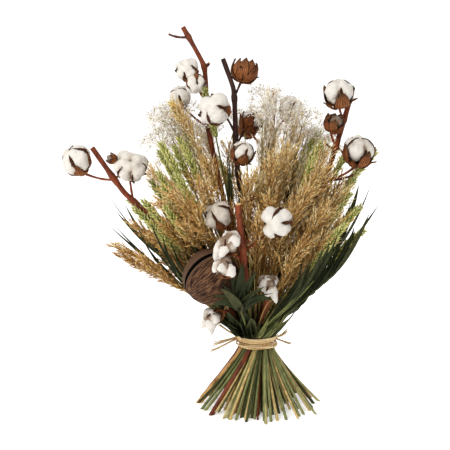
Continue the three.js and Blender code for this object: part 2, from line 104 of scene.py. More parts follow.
def steady(axes: Array) -> Array:
    """For each axis a coordinate direction that is far from it: X where the axis is steep, otherwise Z."""
    steep = np.abs(unit(axes)[..., 2:]) > 0.75
    return np.where(steep, np.array([1.0, 0.0, 0.0]), np.array([0.0, 0.0, 1.0]))


def ripple(points: Array, size: float, seed: int, waves: int = 8) -> Array:
    """Smooth noise: the sum of plane sine waves about one size long, in seeded directions.

    Args:
        points: Where it is wanted, in the last dimension.
        size: The length of a wave.
        seed: Picks the directions and the starts of the waves.
        waves: How many waves are added.

    Returns:
        A value between about -1 and 1 for each point.
    """
    rng = np.random.default_rng(seed)
    ways = unit(rng.normal(size=(waves, 3))) * (2 * math.pi / size) * rng.uniform(0.7, 1.4, (waves, 1))
    return np.sin(points @ ways.T + rng.uniform(0, 2 * math.pi, waves)).sum(-1) / math.sqrt(waves)


def circle(turn: Array, side: Array, other: Array) -> Array:
    """The direction at that turn from side towards other: side cos turn + other sin turn."""
    return np.cos(turn)[..., None] * side + np.sin(turn)[..., None] * other


def between(points: Array, where: Array) -> Array:
    """Points on a path, at those numbers of its points, with fractions between two of them."""
    return np.stack([np.interp(where, np.arange(len(points)), points[:, k]) for k in range(3)], axis=1)


def smooth_path(keys: Array, step: float = 5.0, ease: float = 0.6) -> Array:
    """A cubic Hermite curve through the keys, by chord length; each slope is its neighbours' times ease.

    Args:
        keys: The points that it passes, in order.
        step: The wanted distance between its points.
        ease: 1 for round bends, and less for straighter runs with tighter bends.

    Returns:
        The points of the curve.
    """
    gaps = np.linalg.norm(np.diff(keys, axis=0), axis=1)
    where = np.concatenate([[0.0], np.cumsum(gaps)])
    slopes = np.gradient(keys, where, axis=0) * ease
    s = np.linspace(0, where[-1], max(3, int(where[-1] / step)))
    i = np.clip(np.searchsorted(where, s, side="right") - 1, 0, len(keys) - 2)
    h, t = gaps[i][:, None], ((s - where[i]) / gaps[i])[:, None]
    start = (2 * t**3 - 3 * t**2 + 1) * keys[i] + (t**3 - 2 * t**2 + t) * h * slopes[i]
    return start + (3 * t**2 - 2 * t**3) * keys[i + 1] + (t**3 - t**2) * h * slopes[i + 1]


def grid_faces(many: int, rows: int, columns: int) -> Array:
    """Quads of many grids stored one after another, each closed round its columns.

    Args:
        many: The number of grids.
        rows: Rows of points in each.
        columns: Points in each row.

    Returns:
        Four point numbers for each quad.
    """
    grid = np.arange(many * rows * columns).reshape(many, rows, columns)
    turned = np.roll(grid, -1, axis=2)
    return np.stack([grid[:, :-1], turned[:, :-1], turned[:, 1:], grid[:, 1:]], axis=-1).reshape(-1, 4)


def end_caps(many: int, rows: int, columns: int) -> Array:
    """The faces that close the first and the last row of such grids."""
    grid = np.arange(many * rows * columns).reshape(many, rows, columns)
    return np.concatenate([grid[:, 0, ::-1], grid[:, -1]])


def ball_faces(rows: int, columns: int) -> list[Array]:
    """The faces of a ball: one grid between two poles, which are its first and its last point.

    Args:
        rows: Rings of points between the poles.
        columns: Points in each ring.

    Returns:
        The quads, and each pole's triangles.
    """
    ring = 1 + np.arange(columns)
    last = ring + (rows - 1) * columns
    foot = np.stack([np.zeros_like(ring), np.roll(ring, -1), ring], axis=1)
    top = np.stack([last, np.roll(last, -1), np.full_like(last, rows * columns + 1)], axis=1)
    return [1 + grid_faces(1, rows, columns), foot, top]


def tubes(
    paths: Array, radii: Array, sides: int = 5, wanted: Array | None = None, flat: float = 1.0
) -> tuple[Array, Array, Array]:
    """Circles carried along many paths at once: path point + radius (side cos turn + flat other sin turn).

    Args:
        paths: Tubes by points by 3.
        radii: Tubes by points, or anything that spreads to that.
        sides: Points in each circle.
        wanted: The direction that the circles' first points lie in, or None for a steady one.
        flat: How thick the circle is in its second direction, as a share of its width.

    Returns:
        The points (tubes, points, sides, 3), the quads, and the end caps.
    """
    many, rows = paths.shape[:2]
    tangents = unit(np.gradient(paths, axis=1))
    if wanted is None:
        wanted = steady(tangents.mean(axis=1))[:, None]
    side, other = across(tangents, wanted)
    turn = 2 * math.pi * np.arange(sides) / sides
    ring = circle(turn, side[:, :, None], flat * other[:, :, None])
    radii = np.broadcast_to(radii, (many, rows))
    points = paths[:, :, None] + radii[:, :, None, None] * ring
    return points, grid_faces(many, rows, sides), end_caps(many, rows, sides)


def scatter(template: Array, origins: Array, axes: Array, scales: Array, wanted: Array) -> Array:
    """Copies of a template: origin + scale (x side + y other + z axis), for each origin and axis.

    Args:
        template: The points of one copy, with its length along Z.
        origins: Where the copies stand.
        axes: The way that each one points.
        scales: How large each one is: one number each, or three.
        wanted: The direction that each one's X comes nearest to.

    Returns:
        The points, copies by template points by 3.
    """
    side, other = across(axes, wanted)
    frame = np.stack([side, other, unit(axes)], axis=1)
    scales = np.broadcast_to(scales if np.ndim(scales) > 1 else np.reshape(scales, (-1, 1)), axes.shape)
    return origins[:, None] + np.einsum("kc,mc,mcd->mkd", template, scales, frame)


def repeat_faces(faces: Array, points: int, many: int) -> Array:
    """The template's faces for every copy: each copy's numbers start a template's points further on."""
    return (faces[None] + points * np.arange(many)[:, None, None]).reshape(-1, faces.shape[1])


def spindle(profile: Sequence[tuple[float, float]], sides: int) -> tuple[Array, Array, Array]:
    """A round body of unit length: a ring of points for each (height, radius), with its ends closed.

    Args:
        profile: The heights and radii, from foot to tip.
        sides: Points in each ring.

    Returns:
        The points, the quads and the end caps.
    """
    path = np.array([[[0.0, 0.0, height] for height, _ in profile]])
    points, quads, caps = tubes(path, np.array([[radius for _, radius in profile]]), sides)
    return points.reshape(-1, 3), quads, caps


def bud(middle: float, radius: float, sides: int) -> tuple[Array, Array]:
    """A body of unit length, pointed at both ends, with one ring between them at the height middle.

    Args:
        middle: The height where it is widest.
        radius: The radius of the ring.
        sides: Points in the ring.

    Returns:
        The points and the triangles.
    """
    turn = 2 * math.pi * np.arange(sides) / sides
    ring = circle(turn, np.array([radius, 0, 0]), np.array([0, radius, 0])) + [0, 0, middle]
    return np.concatenate([[[0, 0, 0]], ring, [[0, 0, 1]]]), np.concatenate(ball_faces(1, sides)[1:])


@dataclass
class Sheaf:
    """Gathers many small surfaces, with their marks, into one mesh."""

    points: list[Array] = field(default_factory=list)
    marks: list[Array] = field(default_factory=list)
    faces: list[tuple[Array, int, bool]] = field(default_factory=list)
    count: int = 0

    def add(
        self,
        points: Array,
        faces: Sequence[Array],
        tone: Array | float = 0.5,
        along: Array | float = 0.5,
        across: Array | float = 0.0,
        finish: int = 0,
        flat: bool = False,
    ) -> None:
        """Adds surfaces whose marks spread over the points' own shape.

        Args:
            points: The points, with 3 coordinates in the last dimension.
            faces: Arrays of faces, each array with one number of corners.
            tone: The tone mark, from 0 to 1.
            along: The along mark, from 0 at the root to 1 at the tip.
            across: The across mark, from -1 to 1.
            finish: Which of the piece's finishes these faces wear.
            flat: Whether the faces are shaded flat.
        """
        shape = points.shape[:-1]
        marks = [np.broadcast_to(mark, shape).ravel() for mark in (tone, along, across)]
        self.points.append(points.reshape(-1, 3))
        self.marks.append(np.stack(marks, axis=1))
        self.faces += [(face + self.count, finish, flat) for face in faces]
        self.count += len(self.points[-1])

    def spikes(self, paths: Array, radii: Array, tone: Array | float, along: Array | float) -> None:
        """Adds fine hairs: rings of three along each path, which meet in its last point.

        Args:
            paths: Hairs by points by 3.
            radii: The radius at each point.
            tone: The tone mark, one for each hair.
            along: The along mark, one for each point of a path.
        """
        many, rows = paths.shape[:2]
        rings, _, _ = tubes(paths, radii, 3)
        points = np.concatenate([rings[:, :-1].reshape(many, -1, 3), paths[:, -1:]], axis=1)
        side = np.arange(3)
        low = 3 * np.arange(rows - 2)[:, None]
        after = (side + 1) % 3
        quads = np.stack([low + side, low + after, low + 3 + after, low + 3 + side], axis=-1).reshape(-1, 4)
        last = 3 * (rows - 2)
        tips = np.stack([last + side, last + after, np.full(3, last + 3)], axis=1)
        tips = np.concatenate([tips, [[2, 1, 0]]])
        faces = [repeat_faces(kind, points.shape[1], many) for kind in (quads, tips) if len(kind)]
        along = np.broadcast_to(along, rows)
        self.add(points, faces, tone, np.append(np.repeat(along[:-1], 3), along[-1])[None])

    def ends(self, points: Array, tone: float, finish: int) -> None:
        """Closes both ends of one tube with flat faces of their own.

        Args:
            points: The tube's points.
            tone: Its tone mark.
            finish: The finish of its ends.
        """
        sides = points.shape[2]
        faces = np.stack([np.arange(sides)[::-1], sides + np.arange(sides)])
        self.add(points[0, [0, -1]], [faces], tone, 0.5, 0.0, finish, flat=True)

    def build(self, name: str, finishes: Sequence[Finish], nodes: Sequence[str] = ()) -> bpy.types.Object:
        """Makes the mesh, gives it its finishes, and rides it on the bunch.

        Args:
            name: The piece's name.
            finishes: Its finishes, in the order that the faces number them.
            nodes: The CAD nodes that the piece stands for.

        Returns:
            The piece.
        """
        mesh = bpy.data.meshes.new(name)
        points = np.concatenate(self.points) / 1000
        corners = np.concatenate([faces.ravel() for faces, _, _ in self.faces])
        sizes = np.concatenate([np.full(len(faces), faces.shape[1]) for faces, _, _ in self.faces])
        wears = np.concatenate([np.full(len(faces), finish) for faces, finish, _ in self.faces])
        rounds = np.concatenate([np.full(len(faces), not flat) for faces, _, flat in self.faces])
        mesh.vertices.add(len(points))
        mesh.vertices.foreach_set("co", points.astype(np.float32).ravel())
        mesh.loops.add(len(corners))
        mesh.loops.foreach_set("vertex_index", corners.astype(np.int32))
        mesh.polygons.add(len(sizes))
        mesh.polygons.foreach_set("loop_start", (np.cumsum(sizes) - sizes).astype(np.int32))
        mesh.polygons.foreach_set("material_index", wears.astype(np.int32))
        mesh.polygons.foreach_set("use_smooth", rounds)
        marks = np.concatenate(self.marks).astype(np.float32)
        for column, mark in enumerate(("tone", "along", "across")):
            values = np.ascontiguousarray(marks[:, column])
            mesh.attributes.new(mark, "FLOAT", "POINT").data.foreach_set("value", values)
        for finish in finishes:
            mesh.materials.append(finish.material())
        mesh.update(calc_edges=True)
        mesh.validate()
        piece = bpy.data.objects.new(name, mesh)
        bpy.context.scene.collection.objects.link(piece)
        if nodes:
            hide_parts(*nodes)
        LOG.info("%s: %d triangles", name, int((sizes - 2).sum()))
        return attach(piece, BODY)


# ---- Finishes ----
class Board:
    """Lays out the nodes of one material and feeds its shader."""

    def __init__(self, name: str, roughness: float, **sockets: float) -> None:
        """Starts a material.

        Args:
            name: The material's name.
            roughness: The shader's roughness.
            **sockets: Other constant sockets, with spaces in their names as underscores.
        """
        self.made = bpy.data.materials.new(name)
        self.made.use_nodes = True
        self.tree = self.made.node_tree
        self.shader = self.tree.nodes["Principled BSDF"]
        self.shader.inputs["Roughness"].default_value = roughness
        for socket, value in sockets.items():
            self.shader.inputs[socket.replace("_", " ")].default_value = value

    def feed(self, socket: Socket, value: object) -> None:
        """Links another node's output to the socket, or sets the socket's own value.

        Args:
            socket: The socket.
            value: An output, a colour or a number.
        """
        if isinstance(value, Socket):
            self.tree.links.new(value, socket)
        elif isinstance(value, tuple) and len(value) == 3 and socket.type == "RGBA":
            socket.default_value = (*value, 1.0)
        else:
            socket.default_value = value

    def node(self, kind: str, feeds: dict[str | int, object], **settings: object) -> bpy.types.Node:
        """Adds a node.

        Args:
            kind: The node's type, without its ShaderNode prefix.
            feeds: What goes into its sockets, by name or number.
            **settings: The node's own settings.

        Returns:
            The node.
        """
        made = self.tree.nodes.new("ShaderNode" + kind)
        for name, value in settings.items():
            setattr(made, name, value)
        for socket, value in feeds.items():
            self.feed(made.inputs[socket], value)
        return made

    def mark(self, name: str) -> Socket:
        """The value of one of the mesh's marks."""
        return self.node("Attribute", {}, attribute_name=name).outputs["Fac"]

    def noise(
        self, size: float, detail: float = 3.0, stretch: Point = (1, 1, 1), lift: object | None = None
    ) -> Socket:
        """Noise on object coordinates.

        Args:
            size: How large its spots are, in millimetres.
            detail: How many finer layers it has.
            stretch: How many times longer the spots are along each axis.
            lift: A mark that shifts the pattern, so that neighbouring strands differ.

        Returns:
            The noise, between 0 and 1.
        """
        place = self.node("TexCoord", {}).outputs["Object"]
        scale = tuple(1000 / (size * share) for share in stretch)
        place = self.node("Mapping", {"Vector": place, "Scale": scale}).outputs["Vector"]
        if lift is not None:
            shift = self.times(lift, 37.0)
            place = self.node("VectorMath", {0: place, 1: shift}, operation="ADD").outputs["Vector"]
        return self.node("TexNoise", {"Vector": place, "Scale": 1.0, "Detail": detail}).outputs["Fac"]

    def math(self, kind: str, first: object, second: object = 0.0) -> Socket:
        """One sum of that kind on two values; nothing keeps it between 0 and 1."""
        return self.node("Math", {0: first, 1: second}, operation=kind).outputs[0]

    def times(self, first: object, second: object) -> Socket:
        """The product of two values."""
        return self.math("MULTIPLY", first, second)

    def plus(self, first: object, second: object) -> Socket:
        """The sum of two values."""
        return self.math("ADD", first, second)

    def step(self, value: object, low: float, high: float) -> Socket:
        """Black up to low and white from high on."""
        return self.ramp(value, ((low, (0, 0, 0)), (high, (1, 1, 1))))

    def glow(self, weight: float, radius: Point) -> None:
        """Lets light come through: how much of it, and how far its red, green and blue reach, in metres.

        Args:
            weight: How much of it.
            radius: How far its red, green and blue reach, in metres.
        """
        self.shader.inputs["Subsurface Weight"].default_value = weight
        self.shader.inputs["Subsurface Radius"].default_value = radius
        self.shader.inputs["Subsurface Scale"].default_value = 1.0

    def ramp(self, value: object, stops: Sequence[tuple[float, Colour]]) -> Socket:
        """A colour for each value, eased between the stops.

        Args:
            value: What it reads.
            stops: Each stop's place and colour, in order.

        Returns:
            The colour.
        """
        made = self.node("ValToRGB", {0: value})
        bar = made.color_ramp
        while len(bar.elements) < len(stops):
            bar.elements.new(0.5)
        for element, (place, colour) in zip(bar.elements, stops):
            element.position = place
            element.color = (*colour, 1.0)
        return made.outputs["Color"]

    def blend(self, share: object, first: object, second: object, kind: str = "MIX") -> Socket:
        """Two colours mixed.

        Args:
            share: How much of the second shows.
            first: The colour below.
            second: The colour above.
            kind: How they are mixed.

        Returns:
            The mixed colour.
        """
        made = self.node("Mix", {0: share}, data_type="RGBA", blend_type=kind)
        self.feed(made.inputs[6], first)
        self.feed(made.inputs[7], second)
        return made.outputs[2]

    def finish(self, colour: object, height: object | None = None, depth: float = 0.1) -> Material:
        """Feeds the shader and gives the material.

        Args:
            colour: The base colour.
            height: What the bump reads, or None.
            depth: The bump's depth, in millimetres.

        Returns:
            The material.
        """
        self.feed(self.shader.inputs["Base Color"], colour)
        if height is not None:
            bump = self.node("Bump", {"Height": height, "Strength": 0.9, "Distance": depth / 1000})
            self.feed(self.shader.inputs["Normal"], bump.outputs["Normal"])
        return self.made


@dataclass(frozen=True)
class Finish:
    """A finish that a piece wears, made once and shared."""

    name: str
    slot: str

    def material(self) -> Material:
        """The finish's material, made the first time it is asked for."""
        return bpy.data.materials.get(self.name) or self.lay_out()

    def lay_out(self) -> Material:
        """Makes the material."""
        raise NotImplementedError


@dataclass(frozen=True)
class StrandFinish(Finish):
    """Grass, stalks, raffia and blades: colours run from root to tip, and from one strand to the next."""

    roots: tuple[Colour, Colour, Colour]
    tips: tuple[Colour, Colour, Colour]
    roughness: float = 0.7
    spot: float = 3.0
    shade: float = 0.35
    stripes: float = 0.0
    glow: float = 0.0
    depth: float = 0.0

    def lay_out(self) -> Material:
        """Tone picks among three root and three tip colours, and along mixes those; noise darkens spots."""
        board = Board(self.name, self.roughness, Specular_IOR_Level=0.12)
        if self.glow:
            board.glow(self.glow, (0.002, 0.0016, 0.0008))
        tone = board.mark("tone")
        root = board.ramp(tone, tuple(zip(STOPS, self.roots)))
        tip = board.ramp(tone, tuple(zip(STOPS, self.tips)))
        colour = board.blend(board.mark("along"), root, tip)
        spots = board.noise(self.spot, 3.0, (1, 1, 3), tone)
        dark = board.ramp(spots, ((0.3, (1 - self.shade,) * 3), (0.7, (1.0, 1.0, 1.0))))
        colour = board.blend(1.0, colour, dark, "MULTIPLY")
        if not self.stripes:
            return board.finish(colour)
        lines = board.math("SINE", board.times(board.mark("across"), self.stripes))
        lines = board.math("MULTIPLY_ADD", lines, 0.5)
        lines.node.inputs[2].default_value = 0.5
        pale = board.ramp(lines, ((0.2, (0.62, 0.62, 0.62)), (0.9, (1.25, 1.25, 1.2))))
        colour = board.blend(0.8, colour, pale, "MULTIPLY")
        return board.finish(colour, lines, self.depth)


@dataclass(frozen=True)
class LintFinish(Finish):
    """Cotton: white fluff, turned cream and then brown towards its creases by painted shade, with the light
    coming a little way through it.
    """

    # crest is the cotton's own colour; cream is partly its own colour and partly painted shade; the deepest
    # colour, for the creases, is painted shade.
    crest: Colour = (0.64, 0.60, 0.545)
    cream: Colour = (0.53, 0.475, 0.405)
    painted_crease_shade: Colour = (0.22, 0.15, 0.10)

    def lay_out(self) -> Material:
        """Along runs from the creases to the crests, and the colour darkens towards the creases as painted
        shade; fine curled noise gives the fibres.
        """
        board = Board(self.name, 1.0, Sheen_Weight=0.12, Sheen_Roughness=0.6, Specular_IOR_Level=0.1)
        board.glow(0.1, (0.0015, 0.0012, 0.001))
        cloud = board.noise(9.0, 4.0)
        height = board.plus(board.mark("along"), board.times(cloud, 0.3))
        # Painted shade: the colour darkens from the crests down into the creases.
        colour = board.ramp(height, ((0.14, self.painted_crease_shade), (0.40, self.cream), (1.0, self.crest)))
        fluff = board.noise(1.6, 6.0)
        swirl = board.noise(5.0, 5.0)
        return board.finish(colour, board.plus(fluff, swirl), 0.9)


@dataclass(frozen=True)
class HuskFinish(Finish):
    """The dry husk of a boll: orange-brown, ribbed from foot to tip, with dark edges and tips."""

    light: Colour = (0.44, 0.17, 0.05)
    deep: Colour = (0.11, 0.030, 0.012)
    dark: Colour = (0.022, 0.010, 0.007)
    lining: Colour = (0.36, 0.20, 0.09)

    def lay_out(self) -> Material:
        """Ribs follow across; along and the distance from the middle darken the tip and the edges."""
        board = Board(self.name, 0.62, Specular_IOR_Level=0.15)
        edge = board.math("ABSOLUTE", board.mark("across"))
        grain = board.noise(1.3, 4.0)
        ribs = board.math("SINE", board.times(board.mark("across"), 21.0))
        ribs = board.plus(board.times(ribs, 0.28), grain)
        blotch = board.noise(6.0, 3.0)
        mixed = board.plus(board.times(ribs, 0.5), board.times(blotch, 0.5))
        body = board.ramp(mixed, ((0.4, self.deep), (0.74, self.light)))
        rim = board.math("POWER", edge, 6.0)
        tip = board.math("POWER", board.mark("along"), 3.0)
        dark = board.math("MAXIMUM", rim, tip)
        colour = board.blend(board.times(dark, 0.9), body, self.dark)
        colour = board.blend(board.times(board.mark("tone"), 0.8), colour, self.lining)
        return board.finish(colour, ribs, 0.5)


@dataclass(frozen=True)
class BarkFinish(Finish):
    """Cotton wood: smooth red-brown or dark bark with streaks along it and pale specks.

    deep and light are the colours of its streaks, for tones from 0 to 1; below the tie, wood with a tone
    between the two of straw_tones has the colours of straw instead.
    """

    deep: tuple[Colour, Colour, Colour] = ((0.014, 0.009, 0.008), (0.05, 0.018, 0.012), (0.11, 0.028, 0.013))
    light: tuple[Colour, Colour, Colour] = ((0.05, 0.03, 0.026), (0.14, 0.045, 0.024), (0.31, 0.075, 0.024))
    speck: Colour = (0.42, 0.22, 0.11)
    straw: tuple[Colour, Colour] = ((0.20, 0.10, 0.035), (0.58, 0.36, 0.14))
    straw_tones: tuple[float, float] = (0.74, 0.84)

    def lay_out(self) -> Material:
        """Tone runs from nearly black brown to red-brown; streaks and specks follow the height."""
        board = Board(self.name, 0.55, Specular_IOR_Level=0.2)
        tone = board.mark("tone")
        streaks = board.noise(1.6, 4.0, (1, 1, 14))
        blotch = board.noise(14.0, 3.0, (1, 1, 2))
        deep = board.ramp(tone, tuple(zip(STOPS, self.deep)))
        light = board.ramp(tone, tuple(zip(STOPS, self.light)))
        share = board.plus(board.times(streaks, 0.6), board.times(blotch, 0.5))
        colour = board.blend(board.step(share, 0.42, 0.64), deep, light)
        specks = board.step(board.noise(1.1, 1.0, (1.6, 1.6, 1)), 0.70, 0.76)
        colour = board.blend(board.times(specks, 0.45), colour, self.speck)
        place = board.node("TexCoord", {}).outputs["Object"]
        rise = board.node("SeparateXYZ", {0: place}).outputs["Z"]
        foot = board.ramp(board.times(rise, 5.0), ((0.5, (0.85, 0.85, 0.85)), (0.8, (0, 0, 0))))
        foot = board.times(foot, board.math("GREATER_THAN", tone, self.straw_tones[0]))
        foot = board.times(foot, board.math("LESS_THAN", tone, self.straw_tones[1]))
        straw = board.blend(board.step(share, 0.42, 0.6), *self.straw)
        colour = board.blend(foot, colour, straw)
        return board.finish(colour, board.plus(streaks, board.times(specks, 0.4)), 0.35)


@dataclass(frozen=True)
class CutFinish(Finish):
    """A cut end of wood or straw: pale, with a mottled grain."""

    def lay_out(self) -> Material:
        """Fine noise runs from tan to pale wood."""
        board = Board(self.name, 0.85, Specular_IOR_Level=0.2)
        grain = board.noise(1.2, 3.0)
        colour = board.ramp(grain, ((0.3, (0.42, 0.25, 0.11)), (0.7, (0.72, 0.52, 0.30))))
        return board.finish(colour, grain, 0.2)


@dataclass(frozen=True)
class PodFinish(Finish):
    """The pod's husk: brown fibres from pole to pole, smoother on its lips, with painted shade that makes its
    slit near black.
    """

    def lay_out(self) -> Material:
        """Fibres follow across and along; tone is 0 in the slit, a half on the body and 1 on the lips, and
        the slit is painted near black as painted shade.
        """
        board = Board(self.name, 0.72, Specular_IOR_Level=0.15)
        grain = board.noise(1.5, 5.0)
        around, rise = board.times(board.mark("across"), 62.0), board.times(board.mark("along"), 8.0)
        place = board.node("CombineXYZ", {"X": around, "Y": rise}).outputs[0]
        fibres = board.node("TexNoise", {"Vector": place, "Scale": 1.0, "Detail": 6.0}).outputs["Fac"]
        mixed = board.plus(board.times(fibres, 0.75), board.times(grain, 0.25))
        browns = (0.42, (0.012, 0.006, 0.004)), (0.5, (0.078, 0.037, 0.020)), (0.62, (0.22, 0.122, 0.066))
        body = board.ramp(mixed, browns)
        lip = board.ramp(grain, ((0.3, (0.070, 0.040, 0.026)), (0.7, (0.155, 0.092, 0.058))))
        tone = board.mark("tone")
        colour = board.blend(board.step(tone, 0.5, 0.8), body, lip)
        # Painted shade: the slit, where tone falls to 0, is painted near black.
        slit = board.ramp(tone, ((0.35, (1, 1, 1)), (0.49, (0, 0, 0))))
        colour = board.blend(slit, colour, (0.003, 0.002, 0.002))
        height = board.times(mixed, board.math("SUBTRACT", 1.0, board.times(tone, 0.7)))
        return board.finish(colour, height, 1.4)


@dataclass(frozen=True)
class FloorFinish(Finish):
    """The studio floor: pale and matt."""

    def lay_out(self) -> Material:
        """Nearly white, with the faintest cloud in it."""
        board = Board(self.name, 0.9, Specular_IOR_Level=0.1, Emission_Strength=0.3)
        board.shader.inputs["Emission Color"].default_value = (1, 1, 1, 1)
        cloud = board.noise(900.0, 2.0)
        return board.finish(board.ramp(cloud, ((0.3, (0.93, 0.93, 0.93)), (0.7, (0.95, 0.95, 0.95)))))


LINT = LintFinish("lint_white", "cotton_lint")
HUSK = HuskFinish("husk_brown", "cotton_wood")
BARK = BarkFinish("bark_red_brown", "cotton_wood")
CUT = CutFinish("cut_end", "cotton_wood")
EAR = StrandFinish(
    "ear_green", "green_ear",
    roots=((0.18, 0.24, 0.06), (0.30, 0.35, 0.10), (0.42, 0.40, 0.15)),
    tips=((0.46, 0.48, 0.15), (0.64, 0.61, 0.24), (0.84, 0.77, 0.42)),
    roughness=0.75, shade=0.25, glow=0.15,
)
PLUME = StrandFinish(
    "plume_gold", "golden_plume",
    roots=((0.12, 0.045, 0.014), (0.58, 0.33, 0.11), (0.80, 0.56, 0.25)),
    tips=((0.60, 0.30, 0.085), (0.95, 0.65, 0.27), (0.98, 0.85, 0.54)),
    roughness=0.7, shade=0.35, glow=0.12,
)
PALE_PLUME = StrandFinish(
    "plume_pale", "golden_plume",
    roots=((0.56, 0.37, 0.17), (0.78, 0.62, 0.38), (0.88, 0.77, 0.56)),
    tips=((0.80, 0.62, 0.37), (0.95, 0.88, 0.73), (0.98, 0.96, 0.90)),
    roughness=0.8, shade=0.1, glow=0.2,
)
UMBEL = StrandFinish(
    "umbel_cream", "umbel",
    roots=((0.72, 0.55, 0.36), (0.86, 0.76, 0.60), (0.92, 0.86, 0.74)),
    tips=((0.30, 0.22, 0.15), (0.94, 0.91, 0.85), (0.98, 0.97, 0.95)),
    roughness=0.85, shade=0.05, glow=0.3,
)
LEAF = StrandFinish(
    "leaf_dark_green", "dark_leaf",
    roots=((0.032, 0.040, 0.020), (0.052, 0.060, 0.027), (0.10, 0.092, 0.038)),
    tips=((0.050, 0.064, 0.030), (0.088, 0.098, 0.046), (0.17, 0.15, 0.07)),
    roughness=0.5, shade=0.4, stripes=26.0, glow=0.04, depth=0.18,
)
STALK = StrandFinish(
    "stalk_straw", "green_ear",
    roots=((0.045, 0.055, 0.020), (0.47, 0.48, 0.22), (0.78, 0.53, 0.25)),
    tips=((0.07, 0.09, 0.03), (0.30, 0.31, 0.11), (0.54, 0.34, 0.12)),
    roughness=0.5, spot=5.0, shade=0.45, stripes=14.0, depth=0.15,
)
RED_STALK = StrandFinish(
    "stalk_red", "cotton_wood",
    roots=((0.11, 0.028, 0.014), (0.22, 0.07, 0.03), (0.34, 0.16, 0.06)),
    tips=((0.10, 0.03, 0.015), (0.2, 0.07, 0.03), (0.3, 0.14, 0.05)),
    roughness=0.55, shade=0.3, stripes=12.0, depth=0.12,
)
RAFFIA = StrandFinish(
    "raffia_tan", "raffia",
    roots=((0.72, 0.45, 0.20), (0.82, 0.56, 0.28), (0.88, 0.68, 0.40)),
    tips=((0.66, 0.40, 0.17), (0.80, 0.54, 0.28), (0.9, 0.70, 0.44)),
    roughness=0.6, shade=0.28, stripes=18.0, depth=0.2,
)
POD_HUSK = PodFinish("pod_fibre", "woody_pod")
FLOOR = FloorFinish("floor_pale", "")


